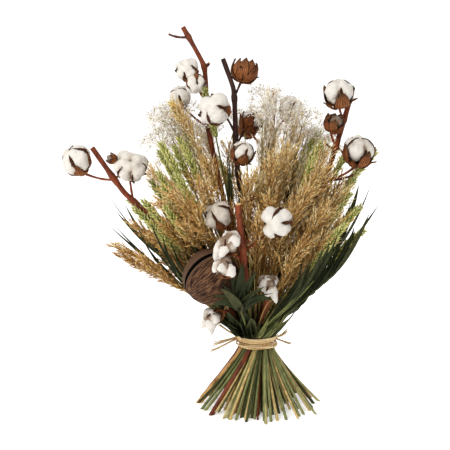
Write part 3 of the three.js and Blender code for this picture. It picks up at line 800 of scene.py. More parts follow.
# ---- How the stems run ----
@dataclass(frozen=True)
class Spiral:
    """Every stem passes its own place in the tie, and turns and spreads from there along one flow."""

    tie: float = 102.0
    pitch: float = 7.25
    rings: int = 3
    bend: float = 20.0
    head_spread: float = 1.05
    foot_spread: float = 0.79
    lean: float = 0.12
    twist: float = 0.42
    twist_reach: float = 30.0
    bend_from: float = 114.0
    clear: float = 6.0
    stones: tuple[tuple[Point, float], ...] = ()

    @property
    def neck(self) -> float:
        """The radius of the outermost stems in the tie."""
        return self.rings * self.pitch

    def reach(self, z: Array) -> Array:
        """How far out of the tie a height is: the root of its rise and the bend squared, less the bend."""
        return np.hypot(z - self.tie, self.bend) - self.bend

    def flow(self, neck: Array, z: Array) -> Array:
        """Where a stem has got to: its radius grows with reach, and its turn is an arctangent of its rise.

        Args:
            neck: Its place in the tie, x and y first.
            z: The heights.

        Returns:
            The points, with 3 coordinates in the last dimension.
        """
        rise, reach = z - self.tie, self.reach(z)
        spread = np.where(rise > 0, self.head_spread, self.foot_spread)
        radius = np.hypot(neck[..., 0], neck[..., 1]) * (1 + reach * spread / self.neck)
        angle = np.arctan2(neck[..., 1], neck[..., 0]) + self.twist * np.arctan(rise / self.twist_reach)
        lean = np.where(rise > 0, self.lean * reach, 0.0)
        x, y = radius * np.cos(angle) - lean, radius * np.sin(angle)
        return np.stack([x, y, z + 0 * radius], axis=-1)

    def neck_of(self, head: Array) -> Array:
        """The flow run backwards: where the stem of a head at that point would pass the tie.

        Args:
            head: The point.

        Returns:
            The place, in X and Y.
        """
        lean = self.lean * self.reach(head[2])
        out = self.flow(np.array([1.0, 0.0]), head[2]) + [lean, 0, 0]
        angle = math.atan2(head[1], head[0] + lean) - math.atan2(out[1], out[0])
        radius = math.hypot(head[0] + lean, head[1]) / math.hypot(out[0], out[1])
        return np.array([radius * math.cos(angle), radius * math.sin(angle)])

    def places(self) -> Array:
        """The places in the tie: one in the middle, and rings of 6, 12 and 18 round it."""
        made = [(0.0, 0.0)]
        for ring in range(1, self.rings + 1):
            turn = 2 * math.pi * (np.arange(6 * ring) + 0.5 * (ring % 2)) / (6 * ring)
            made += list(zip(ring * self.pitch * np.cos(turn), ring * self.pitch * np.sin(turn)))
        return np.array(made)

    def assign(self, heads: Sequence[Point]) -> Array:
        """Gives each stem a place: two swap theirs for as long as that makes their squared misses smaller.

        Args:
            heads: The stems' heads, in order.

        Returns:
            A place for each.
        """
        places = self.places()
        wanted = np.array([self.neck_of(np.array(head)) for head in heads])
        cost = ((wanted[:, None] - places[None]) ** 2).sum(-1)
        owner = list(range(len(heads)))
        changed = True
        while changed:
            changed = False
            for a in range(1, len(heads)):
                for b in range(a + 1, len(heads)):
                    if cost[a, owner[b]] + cost[b, owner[a]] < cost[a, owner[a]] + cost[b, owner[b]] - 1e-9:
                        owner[a], owner[b] = owner[b], owner[a]
                        changed = True
        return places[owner]

    def part(self, points: Array) -> Array:
        """Stems part round each boll and the pod: the distance becomes the fourth root of d^4 + clear^4.

        Args:
            points: The points before that.

        Returns:
            The points after it.
        """
        for at, radius in self.stones:
            away = points - np.array(at)
            far = np.linalg.norm(away, axis=-1, keepdims=True)
            kept = (far**4 + (radius + self.clear) ** 4) ** 0.25
            points = np.array(at) + away * kept / np.maximum(far, 1e-6)
        return points

    def line(self, neck: Array, place: Array, head: Array, heights: Array, parts: bool = True) -> Array:
        """A stem from the table to its head: the flow, plus a smooth share of what it misses the head by.

        Args:
            neck: Where this stem passes the tie.
            place: The place in the tie that its small bunch was given.
            head: The point that it runs to.
            heights: Where its points are wanted.
            parts: Whether it parts round the bolls and the pod.

        Returns:
            Its points.
        """
        head = np.asarray(head, float)
        miss = head - self.flow(place, head[2])
        share = smooth(heights, self.bend_from, head[2])
        points = self.flow(neck, heights) + share[:, None] * miss
        above = heights > self.tie
        return np.where(above[:, None], self.part(points), points) if parts else points

    def shared(self, place: Array, count: int) -> Array:
        """Places side by side for the stalks of one small bunch, on a little circle round its own place.

        Args:
            place: The place in the tie.
            count: How many stalks share it.

        Returns:
            A place for each stalk.
        """
        apart = (0.0, 0.0, 1.35, 1.55)[count]
        turn = math.atan2(place[1], place[0]) + math.pi / 2 + 2 * math.pi * np.arange(count) / count
        return place + apart * np.stack([np.cos(turn), np.sin(turn)], axis=1)


def stalk(
    sheaf: Sheaf, path: Array, radii: Array, tone: float, finish: int = ON_STALK, cut: int = ON_CUT
) -> None:
    """A stalk with long ribs: circles along its path, cut level where it stands on the table.

    Args:
        sheaf: What it is added to.
        path: Its points, from the foot up.
        radii: Its radius at each.
        tone: Its tone mark.
        finish: Its finish.
        cut: The finish of its ends.
    """
    sides = 8
    points, quads, _ = tubes(path[None], radii[None], sides)
    tangent = unit(path[1] - path[0])
    if abs(path[0, 2]) < 8:
        points[0, 0] -= tangent * ((points[0, 0, :, 2:] - path[0, 2]) / tangent[2])
    along = np.linspace(0, 1, len(path))[None, :, None]
    around = np.linspace(-1, 1, sides)[None, None, :]
    sheaf.add(points, [quads], tone, along, around, finish)
    sheaf.ends(points, tone, cut)


class Stem:
    """What has a place of its own in the tie; each kind is a dataclass, and most have a name and a tip."""

    name: str
    tip: Point
    filler: bool = False

    @property
    def head(self) -> Point:
        """The point that its place in the tie is chosen for."""
        return self.tip

    def nodes(self, kind: str) -> list[str]:
        """The CAD node of that kind that it stands for, if it is no filler."""
        return [] if self.filler else [f"{kind}_{self.name}"]

    def build(self, spiral: Spiral, place: Array, seed: int) -> None:
        """Builds the stalk or the wood, and what it carries.

        Args:
            spiral: How the stems run.
            place: Its place in the tie.
            seed: Picks its small differences.
        """
        raise NotImplementedError


# ---- Cotton ----
@dataclass(frozen=True)
class HuskShape:
    """How a boll has opened.

    tip is how near the top its valves reach, in degrees; full is how much of the room between its
    neighbours a valve fills; proud is how far a valve's belly stands from the centre; curl is how far
    its tip bends out; spread and girth are how far out the puffs of cotton lie and how fat they are;
    hang is how far slipped locks droop; foot is the angle that the valves start from; blunt is how late
    they narrow.
    """

    tip: float
    full: float
    proud: float
    curl: float
    spread: float
    girth: float
    hang: float = 0.0
    foot: float = 176.0
    blunt: float = 1.7


class Husk(Enum):
    """The ways that the bolls of this bunch have opened."""

    FLUFFY = HuskShape(64, 0.70, 0.92, 0.08, 0.51, 0.52)
    CUPPED = HuskShape(68, 0.96, 1.0, 0.1, 0.48, 0.50, blunt=2.6)
    SPENT = HuskShape(44, 0.9, 1.0, 0.02, 0.32, 0.36, blunt=3.4)
    BURST = HuskShape(98, 0.5, 0.88, 0.16, 0.6, 0.42)
    LOOSE = HuskShape(84, 0.5, 0.84, 0.2, 0.44, 0.38, 0.62)


@dataclass(frozen=True)
class Boll:
    """One cotton boll: lint in locks, a husk valve in each groove between them, and a cup below.

    start is the height where its twig leaves the branch; twin is the other half of a boll that burst in two;
    its last field is painted shade: how far its cotton is dimmed towards cream, for a boll that lies in
    shade.
    """

    at: Point
    size: float
    face: Point
    locks: int
    start: float
    husk: Husk = Husk.FLUFFY
    twin: Boll | None = None
    # Painted shade: dims the cotton of a boll that lies in shade.
    painted_shade: float = 0.0

    def frame(self) -> tuple[Array, Array, Array]:
        """Its axis, which its cotton faces along, and two directions square to it."""
        axis = unit(np.array(self.face, float))
        return (axis, *across(axis, np.array([1.0, 0.0, 0.0])))

    def sway(self, turn: Array) -> Array:
        """The turn, shifted by a sine of itself, so that the locks differ in width."""
        phase = 0.7 * self.at[0] + self.at[2]
        return turn + 0.26 * np.sin(turn + phase) + 0.10 * np.sin(2 * turn + 2.1 * phase)

    def direction(self, polar: Array, turn: Array) -> Array:
        """The direction at that angle down from the top and that turn, as a unit vector."""
        axis, side, other = self.frame()
        return circle(polar, axis, circle(turn, side, other))

    def puffs(self) -> tuple[Array, Array]:
        """The balls that the lint is built from: three for each lock, from its top to its foot.

        Returns:
            Their centres, from the boll's centre, and their radii, both for a boll of size 1.
        """
        shape = self.husk.value
        rng = np.random.default_rng(int(self.size * 100 + abs(self.at[0])))
        count = self.locks
        turn = 2 * math.pi * (np.arange(count) + 0.5) / count
        large = np.tile(1 + 0.09 * np.sin(turn + 0.3 * self.at[0]), 3)
        turn = np.tile(self.sway(turn), 3) + rng.normal(0, 0.07, 3 * count)
        polar = np.radians(np.repeat([33.0, 69.0, 108.0], count) + rng.normal(0, 3.5, 3 * count))
        far = np.repeat([shape.spread - 0.02, shape.spread, shape.spread - 0.11], count)
        girth = np.repeat([shape.girth - 0.06, shape.girth, shape.girth - 0.02], count)
        return self.direction(polar, turn) * far[:, None], girth * large * rng.uniform(0.92, 1.04, 3 * count)

    def reach(self, ways: Array) -> Array:
        """How far the lint reaches each way: the smooth maximum of where the way leaves each puff.

        Args:
            ways: Unit vectors.

        Returns:
            The distance from the centre, for a boll of size 1.
        """
        centres, radii = self.puffs()
        near = ways @ centres.T
        inside = near**2 - (centres**2).sum(-1) + radii**2
        leave = np.where(inside > 0, near + np.sqrt(np.maximum(inside, 0)), 0)
        leave = np.concatenate([np.maximum(leave, 0), np.full((*ways.shape[:-1], 1), 0.42)], axis=-1)
        return (leave**22).sum(-1) ** (1 / 22)

    def lint(self, sheaf: Sheaf, seed: int) -> None:
        """The cotton: its reach in every direction, roughened by two sizes of ripple, with stray fibres.

        Args:
            sheaf: What it is added to.
            seed: Picks its ripples and fibres.
        """
        rows, columns = 42, 62
        polar = np.linspace(math.pi, 0, rows + 2)[1:-1]
        turn = 2 * math.pi * np.arange(columns) / columns
        polar, turn = np.meshgrid(polar, turn, indexing="ij")
        poles = self.direction(np.array([math.pi, 0.0]), np.zeros(2))
        ways = np.concatenate([poles[:1], self.direction(polar, turn).reshape(-1, 3), poles[1:]])
        reach = self.reach(ways)
        rough = 0.028 * ripple(ways, 0.62, seed) + 0.014 * ripple(ways, 0.24, seed + 1, 12)
        rough += 0.007 * ripple(ways, 0.1, seed + 2, 16)
        points = np.array(self.at) + ways * (self.size * (reach + rough))[:, None]
        # Painted shade: the along mark falls from the crests into the creases between the puffs, and a boll
        # that lies in shade is dimmed as a whole.
        depth = smooth(reach, 0.70, 0.96) * (1 - self.painted_shade)
        sheaf.add(points, ball_faces(rows, columns), 0.5, depth)
        self.fibres(sheaf, seed)
        if self.husk.value.hang:
            self.tufts(sheaf, seed)

    def fibres(self, sheaf: Sheaf, seed: int) -> None:
        """Stray fibres: thin tubes that leave the lint and bend over, each along a seeded arc.

        Args:
            sheaf: What it is added to.
            seed: Picks their arcs.
        """
        rng = np.random.default_rng(seed)
        count = 110
        polar = np.arccos(rng.uniform(-0.5, 1, count))
        ways = self.direction(polar, rng.uniform(0, 2 * math.pi, count))
        start = np.array(self.at) + ways * (self.size * (self.reach(ways) - 0.03))[:, None]
        drift = unit(np.cross(ways, rng.normal(size=(count, 3))))
        long = rng.uniform(2.0, 5.5, (count, 1, 1))
        s = np.linspace(0, 1, 4)[None, :, None]
        path = start[:, None] + long * (ways[:, None] * 0.55 * np.sin(2.2 * s) + drift[:, None] * s**1.5)
        sheaf.spikes(path, np.linspace(0.14, 0.06, 4)[None], 0.5, 0.9)

    def tufts(self, sheaf: Sheaf, seed: int) -> None:
        """Locks that have slipped out: each a drop, sin(pi s^0.7)^0.55 wide, along a drooping arc.

        Args:
            sheaf: What it is added to.
            seed: Picks their arcs.
        """
        rng = np.random.default_rng(seed + 7)
        count, rows, sides = self.locks + 2, 14, 12
        turn = 2 * math.pi * (np.arange(count) + 0.5) / count + rng.normal(0, 0.3, count)
        ways = self.direction(np.radians(rng.uniform(25, 100, count)), turn)
        s = np.linspace(0, 1, rows)
        path = np.array(self.at) + ways[:, None] * (self.size * (0.2 + 0.78 * s))[None, :, None]
        path[..., 2] -= self.size * self.husk.value.hang * s[None] ** 2 * rng.uniform(0.0, 2.0, (count, 1))
        body = np.maximum(np.sin(math.pi * s**0.7), 0) ** 0.55 * self.size
        body = np.maximum(body * rng.uniform(0.32, 0.46, (count, 1)), 0.3)
        points, quads, caps = tubes(path, body, sides)
        points += 0.9 * ripple(points, 9.0, seed)[..., None] * unit(points - path[:, :, None])
        # Painted shade: a slipped lock is a little darker towards its root.
        sheaf.add(points, [quads, caps], 0.5, 0.75 + 0.25 * s[None, :, None])

    def husks(self, sheaf: Sheaf, seed: int) -> None:
        """The cup and the valves of the husk, and a second whorl of bracts on a boll that is spent.

        Args:
            sheaf: What it is added to.
            seed: Picks their small differences.
        """
        axis, _, _ = self.frame()
        foot = np.array(self.at) - axis * 1.06 * self.size
        path = foot + axis * np.array([0, 0.05, 0.12, 0.22, 0.3])[:, None] * self.size
        radii = np.array([0.11, 0.26, 0.36, 0.42, 0.40]) * self.size
        points, quads, caps = tubes(path[None], radii[None], 14)
        along = np.linspace(0, 0.4, 5)[None, :, None]
        sheaf.add(points, [quads, caps], 0.25, along, np.linspace(-1, 1, 14) * 0.8, finish=ON_HUSK)
        self.valves(sheaf, seed, 0.0, self.husk.value)
        if self.husk is Husk.SPENT:
            self.valves(sheaf, seed + 5, 0.5, HuskShape(62, 0.9, 1.08, 0.12, 0, 0, blunt=3.0))
            self.valves(sheaf, seed + 6, 0.25, HuskShape(92, 0.8, 1.13, 0.2, 0, 0, blunt=2.4))
        elif self.husk is Husk.CUPPED:
            self.valves(sheaf, seed + 5, 0.5, HuskShape(100, 0.85, 1.06, 0.26, 0, 0))
        if self.husk is not Husk.SPENT:
            top, full = (56, 0.13) if self.husk is Husk.BURST else (26, 0.19)
            self.valves(sheaf, seed + 8, 0.0, HuskShape(top, full, 0.8, 0.0, 0, 0, foot=top + 52))

    def valves(self, sheaf: Sheaf, seed: int, shift: float, shape: HuskShape) -> None:
        """Pointed shells up the grooves: wide where they leave the cup, lying in the groove near the tip.

        A valve's half turn is full (1 - s^blunt)^0.8 of its share; its distance runs from its proud belly to
        the lint's own reach in the groove, and its last fifth curls outward.

        Args:
            sheaf: What they are added to.
            seed: Picks how much each differs.
            shift: How far they are turned round, in grooves.
            shape: How they have opened.
        """
        rng = np.random.default_rng(seed)
        whole = shape.foot > 170
        rows, half = (13, 4) if whole else (8, 2)
        s = np.linspace(0, 1, rows)[:, None]
        u = np.concatenate([np.linspace(-1, 1, 2 * half + 1), np.linspace(1, -1, 2 * half + 1)[1:-1]])
        inner = np.concatenate([np.zeros(2 * half + 1), np.ones(2 * half - 1)])
        centre = self.sway(2 * math.pi * (np.arange(self.locks) + shift) / self.locks)
        tip = shape.tip + rng.normal(0, 5 if whole else 14, self.locks)
        polar = np.radians(shape.foot + (tip[:, None, None] - shape.foot) * s * (1 + 0 * u))
        if whole:
            taper = np.maximum(1 - s**shape.blunt, 0.004) ** 0.8
        else:
            taper = np.maximum(np.sin(math.pi * s), 0.02)
        ragged = 1 + 0.09 * np.sin(8 * s + rng.uniform(0, 6.28, (self.locks, 1, 1)) + 2 * u) * s
        width = shape.full * math.pi / self.locks * taper * ragged
        turn = centre[:, None, None] + width * u + rng.normal(0, 0.06, (self.locks, 1, 1)) * s
        keel = self.reach(self.direction(polar[:, :, :1], centre[:, None, None] + 0 * polar[:, :, :1]))
        settle = smooth(s, 0.35, 0.95) * (0.85 if shape.full < 0.8 else 0.35) if whole else 0 * s + 1
        belly = shape.proud * np.interp(s, [0, 0.12, 0.4, 1], [0.82, 0.93, 1.0, 1.02])
        reach = (1 - settle) * belly + settle * (keel + 0.05)
        reach = reach + 0.05 * (1 - u**2) * (1 - s) + shape.curl * smooth(s, 0.72, 1.0) ** 2
        reach = reach + 0.02 * np.sin(17 * u + 3 * s) * (1 - 0.6 * s) - 0.045 * inner * (1 - u**2) ** 0.5
        reach = reach + rng.normal(0, 0.015, (self.locks, 1, 1)) * whole
        reach = reach + whole * 0.035 * s * np.sin(5 * u + rng.uniform(0, 6.28, (self.locks, 1, 1)))
        points = np.array(self.at) + self.direction(polar, turn) * (self.size * reach)[..., None]
        caps = end_caps(self.locks, rows, len(u))
        tone = inner * 0.45 + rng.uniform(0, 0.2, (self.locks, 1, 1))
        along = s if whole else 0.93
        faces = [grid_faces(self.locks, rows, len(u)), caps]
        sheaf.add(points, faces, tone * whole, along, u, finish=ON_HUSK)


@dataclass(frozen=True)
class CottonBranch(Stem):
    """A cotton branch: wood through the tie and on through the points of its way, twigs, knobs and bolls.

    tone runs from black brown to red-brown bark; forks are bare side twigs, each a root height and an end.
    """

    name: str
    way: tuple[Point, ...]
    bolls: tuple[Boll, ...]
    tone: float = 0.7
    forks: tuple[tuple[float, Point, float], ...] = ()
    girth: float = 1.0

    @property
    def head(self) -> Point:
        """The point that its place in the tie is chosen for."""
        return self.way[0]

    def path(self, spiral: Spiral, place: Array) -> Array:
        """The wood's centre line: the stem's own line to 130 mm, then a smooth curve through its way."""
        low = spiral.line(place, place, np.array(self.way[0]), np.linspace(0, ABOVE_TIE, 14))
        return smooth_path(np.concatenate([low, np.array(self.way)]), 4.8, 0.45)

    def build(self, spiral: Spiral, place: Array, seed: int) -> None:
        """Builds the branch with its husks, and the lint of each boll.

        Args:
            spiral: How the stems run.
            place: Its place in the tie.
            seed: Picks its small differences.
        """
        sheaf = Sheaf()
        path = self.path(spiral, place)
        z = path[:, 2]
        swell = 0.7 * smooth(z, 122, 182) + 0.4 * smooth(60 - z, 0, 60)
        thin = 1 - 0.18 * np.clip((z - 200) / 350, 0, 1)
        knobs = np.array([boll.start for boll in self.bolls] + [height for height, _, _ in self.forks])
        bumps = (1.3 * np.exp(-(((z[:, None] - knobs) / 4.5) ** 2))).sum(-1)
        radii = (3.5 + swell) * thin * self.girth + bumps + 0.18 * ripple(path, 26, seed)
        points, quads, _ = tubes(path[None], radii[None], 16)
        tangent = unit(path[1] - path[0])
        points[0, 0] -= tangent * (points[0, 0, :, 2:] / tangent[2])
        along = np.linspace(0, 1, len(path))[None, :, None]
        sheaf.add(points, [quads], self.tone, along, 0.0)
        sheaf.ends(points, self.tone, ON_WOOD_CUT)
        for i, boll in enumerate(self.bolls):
            self.twig(sheaf, path, boll, seed + i)
            lint = Sheaf()
            for half in filter(None, (boll, boll.twin)):
                half.husks(sheaf, seed * 10 + i)
                half.lint(lint, seed * 10 + i)
            lint.build(f"lint_{self.name}_{i + 1}", [LINT], [f"cotton_{self.name}_{i + 1}"])
        for height, end, girth in self.forks:
            self.fork(sheaf, path, height, np.array(end), girth)
        sheaf.build(f"branch_{self.name}", [BARK, CUT, HUSK], [f"cotton_branch_{self.name}"])

    def twig(self, sheaf: Sheaf, path: Array, boll: Boll, seed: int) -> None:
        """A boll's twig: a Bezier curve from the branch to the cup, thick at both ends, with a node on it.

        Args:
            sheaf: What it is added to.
            path: The branch's centre line.
            boll: The boll.
            seed: Not used.
        """
        axis, _, _ = boll.frame()
        root = path[np.argmin(np.abs(path[:, 2] - boll.start))]
        end = np.array(boll.at) - axis * 1.04 * boll.size
        far = np.linalg.norm(end - root)
        bow = (root + end) / 2 - axis * 0.22 * far
        t = np.linspace(0, 1, 13)[:, None]
        line = (1 - t) ** 2 * root + 2 * t * (1 - t) * bow + t**2 * end
        s = t[:, 0]
        node = 0.5 * np.exp(-(((s - 0.45) / 0.06) ** 2))
        radii = 1.45 + 1.3 * np.exp(-s * 7) + 0.8 * np.exp(-(1 - s) * 6) + node
        points, quads, caps = tubes(line[None], radii[None], 10)
        sheaf.add(points, [quads, caps], min(1.0, self.tone + 0.1), s[None, :, None])

    def fork(self, sheaf: Sheaf, path: Array, height: float, end: Array, girth: float) -> None:
        """A bare side twig with a cut end: a slightly bent tube from the branch, with a knob on its way.

        Args:
            sheaf: What it is added to.
            path: The branch's centre line.
            height: How high its root is.
            end: Its end.
            girth: Its radius.
        """
        root = path[np.argmin(np.abs(path[:, 2] - height))]
        t = np.linspace(0, 1, 9)[:, None]
        sag = np.array([0, 0, -0.08]) * np.linalg.norm(end - root)
        line = root + (end - root) * t + sag * 4 * t * (1 - t)
        s = t[:, 0]
        radii = girth * (1 + 0.7 * np.exp(-s * 6) + 0.35 * np.exp(-(((s - 0.6) / 0.08) ** 2)))
        points, quads, _ = tubes(line[None], radii[None], 10)
        sheaf.add(points, [quads], self.tone * 0.6, 0.5)
        sheaf.ends(points, self.tone, ON_WOOD_CUT)


# ---- Ears and plumes ----
@dataclass(frozen=True)
class Bunch(Stem):
    """One to three grass stalks that share a place in the tie, each with a head at its tip.

    tip is the middle head's tip. A filler has no CAD node of its own and passes the tie where it likes.
    """

    name: str
    tip: Point
    heads: int
    length: float
    filler: bool = False

    def lines(self, spiral: Spiral, place: Array, nod: float, seed: int) -> list[tuple[Array, Array]]:
        """Each stalk's line up to its head, and its head's own line, which nods outwards towards its tip.

        Args:
            spiral: How the stems run.
            place: The place in the tie.
            nod: How far a tip bends out, in millimetres.
            seed: Picks the ways that they nod.

        Returns:
            For each stalk the points below the head and the points of the head.
        """
        rng = np.random.default_rng(seed)
        made = []
        for i, neck in enumerate(spiral.shared(place, self.heads)):
            tip = np.array(self.tip) - [0, 0, 0.22 * self.length * i]
            low = spiral.line(neck, place, tip, np.array([tip[2] - 30, tip[2]]))
            foot = tip[2] - self.length * unit(low[1] - low[0])[2]
            heights = np.concatenate([np.linspace(0, foot, 26)[:-1], np.linspace(foot, tip[2], 14)])
            path = spiral.line(neck, place, tip, heights)
            share = np.clip((heights - foot) / (tip[2] - foot), 0, 1) ** 2
            out = unit(np.append(tip[:2] + [40, 0], 0)) + 0.5 * rng.normal(size=3) * [1, 1, 0]
            path = path + share[:, None] * nod * (out + [0, 0, -0.35])
            made.append((path[:26], path[25:]))
        return made


@dataclass(frozen=True)
class Ears(Bunch):
    """Green ears: spikelets in a tight spiral that lean forward, each with a bristle."""

    def build(self, spiral: Spiral, place: Array, seed: int) -> None:
        """Builds the stalks and their ears.

        Args:
            spiral: How the stems run.
            place: Its place in the tie.
            seed: Picks its small differences.
        """
        sheaf = Sheaf()
        rng = np.random.default_rng(seed)
        for low, top in self.lines(spiral, place, 5.0, seed):
            radii = np.interp(low[:, 2], [0, ABOVE_TIE, low[-1, 2]], [2.1, 1.9, 1.1])
            stalk(sheaf, low, radii, rng.uniform(0.05, 0.45))
            self.ear(sheaf, top, rng)
        sheaf.build(f"ears_{self.name}", [EAR, STALK, CUT], self.nodes("green_ears"))

    def ear(self, sheaf: Sheaf, line: Array, rng: Random) -> None:
        """One ear: spindle-shaped spikelets at golden turns up the line, smaller at both ends, and bristles.

        Args:
            sheaf: What it is added to.
            line: The ear's middle line.
            rng: Picks the small differences.
        """
        count = 84
        t = np.linspace(0.0, 0.97, count)
        at = between(line, t * (len(line) - 1))
        axis = unit(line[-1] - line[0])
        axes = unit(np.gradient(at, axis=0) + 1e-9 * axis)
        side, other = across(axes, np.array([1.0, 0.2, 0.0]))
        turn = GOLDEN_TURN * np.arange(count) + rng.normal(0, 0.2, count)
        out = circle(turn, side, other)
        plump = 0.55 + 0.45 * np.sin(math.pi * np.clip(t * 0.92 + 0.06, 0, 1))
        plump = plump * rng.uniform(0.85, 1.1, count)
        ways = unit(axes + out * rng.uniform(0.4, 0.8, count)[:, None])
        seed = spindle([(0, 0.06), (0.27, 0.18), (0.62, 0.145), (1, 0.012)], 5)
        points = scatter(seed[0], at + out * 1.4, ways, 10.5 * plump, out)
        tone = rng.uniform(0.1, 0.9, count)
        along = np.repeat([0, 0.35, 0.75, 1], 5)[None]
        sheaf.add(points, [repeat_faces(f, len(seed[0]), count) for f in seed[1:]], tone[:, None], along)
        roots = at + out * 2 + ways * (6.5 * plump)[:, None]
        streams = unit(ways + 0.35 * rng.normal(size=ways.shape))
        bristles(sheaf, roots, streams, rng.uniform(6, 13, count), 0.22, rng, 0.75)
        path = np.concatenate([line, line[-1:] + axis * 3])
        core, quads, caps = tubes(path[None], np.linspace(1.1, 0.3, len(path))[None], 6)
        sheaf.add(core, [quads, caps], 0.3, 0.2)


def bristles(
    sheaf: Sheaf, roots: Array, ways: Array, lengths: Array, radius: float, rng: Random,
    low: float = 0.4, bend: float = 0.25,
) -> None:
    """Fine hairs, each a straight spike that leans off its way.

    Args:
        sheaf: What they are added to.
        roots: Where they start.
        ways: Where they point.
        lengths: How long they are.
        radius: Their radius at the root.
        rng: Picks how each leans.
        low: The least of their tones.
        bend: How far a tip leans, as a share of its length.
    """
    off = unit(np.cross(ways, rng.normal(size=ways.shape)))
    tips = roots + lengths[:, None] * (ways + bend * off)
    tone = rng.uniform(low, 1, len(roots))[:, None]
    sheaf.spikes(np.stack([roots, tips], axis=1), np.array([[radius, 0]]), tone, np.array([0.4, 1]))


@dataclass(frozen=True)
class Plumes(Bunch):
    """Golden plumes: fine side branches that stream upwards, set with thin husks and hairs."""

    tone: float = 0.5
    width: float = 1.0
    finish: StrandFinish = PLUME

    def build(self, spiral: Spiral, place: Array, seed: int) -> None:
        """Builds the stalks and their plumes.

        Args:
            spiral: How the stems run.
            place: Its place in the tie.
            seed: Picks its small differences.
        """
        sheaf = Sheaf()
        rng = np.random.default_rng(seed)
        for low, top in self.lines(spiral, place, 8.0, seed):
            radii = np.interp(low[:, 2], [0, ABOVE_TIE, low[-1, 2]], [2.0, 1.7, 0.9])
            stalk(sheaf, low, radii, rng.uniform(0.55, 1.0))
            self.plume(sheaf, top, rng)
        sheaf.build(f"plumes_{self.name}", [self.finish, STALK, CUT], self.nodes("golden_plumes"))

    def plume(self, sheaf: Sheaf, line: Array, rng: Random) -> None:
        """One plume: side branches at golden turns, each an arc that leaves the line and turns along it.

        Args:
            sheaf: What it is added to.
            line: The plume's middle line.
            rng: Picks the small differences.
        """
        count, knots = 60, 5
        t = np.linspace(0, 0.96, count) ** 0.9
        at = between(line, t * (len(line) - 1))
        axes = unit(np.gradient(at, axis=0) + 1e-9)
        side, other = across(axes, np.array([1.0, 0.2, 0.0]))
        turn = GOLDEN_TURN * np.arange(count) + rng.normal(0, 0.3, count)
        out = circle(turn, side, other)
        long = (0.20 + 0.16 * np.sin(math.pi * t**0.7)) * self.length * rng.uniform(0.7, 1.15, count)
        s = np.linspace(0, 1, knots)[None, :, None]
        lean = rng.uniform(0.25, 0.5, count)[:, None, None] * self.width
        bow = out[:, None] * lean * s ** rng.uniform(0.6, 1.2)
        paths = at[:, None] + long[:, None, None] * (axes[:, None] * s + bow)
        paths = paths + rng.normal(0, 0.5, paths.shape) * s
        points, quads, caps = tubes(paths, np.linspace(0.38, 0.16, knots)[None], 3)
        tone = np.clip(self.tone + rng.normal(0, 0.28, count), 0, 1)
        sheaf.add(points, [quads, caps], tone[:, None, None], s)
        self.husks(sheaf, paths, axes, tone, rng)
        core, quads, caps = tubes(line[None], np.linspace(0.9, 0.3, len(line))[None], 6)
        sheaf.add(core, [quads, caps], 0.5, 0.3)

    def husks(self, sheaf: Sheaf, paths: Array, axes: Array, tone: Array, rng: Random) -> None:
        """Thin pointed husks along the side branches, each with one hair.

        Args:
            sheaf: What they are added to.
            paths: The side branches, branches by points by 3.
            axes: The plume's own direction at each branch.
            tone: Each branch's tone.
            rng: Picks the small differences.
        """
        roots = (paths[:, 1:] + rng.normal(0, 0.25, paths[:, 1:].shape)).reshape(-1, 3)
        each = paths.shape[1] - 1
        ways = unit(unit(np.diff(paths, axis=1)).reshape(-1, 3) + 0.2 * rng.normal(size=roots.shape))
        husk, faces = bud(0.3, 0.075, 3)
        many = len(roots)
        size = rng.uniform(8.0, 14.0, many)
        tones = np.clip(np.repeat(tone, each) + rng.normal(0, 0.15, many), 0, 1)
        points = scatter(husk, roots, ways, size, steady(ways))
        along = np.array([0.3, 0.7, 0.7, 0.7, 1.0])[None]
        sheaf.add(points, [repeat_faces(faces, len(husk), many)], tones[:, None], along)
        streams = unit(ways + np.repeat(axes, each, axis=0) * 0.8 + 0.2 * rng.normal(size=ways.shape))
        bristles(sheaf, roots, streams, rng.uniform(6, 15, many), 0.19, rng, 0.25)


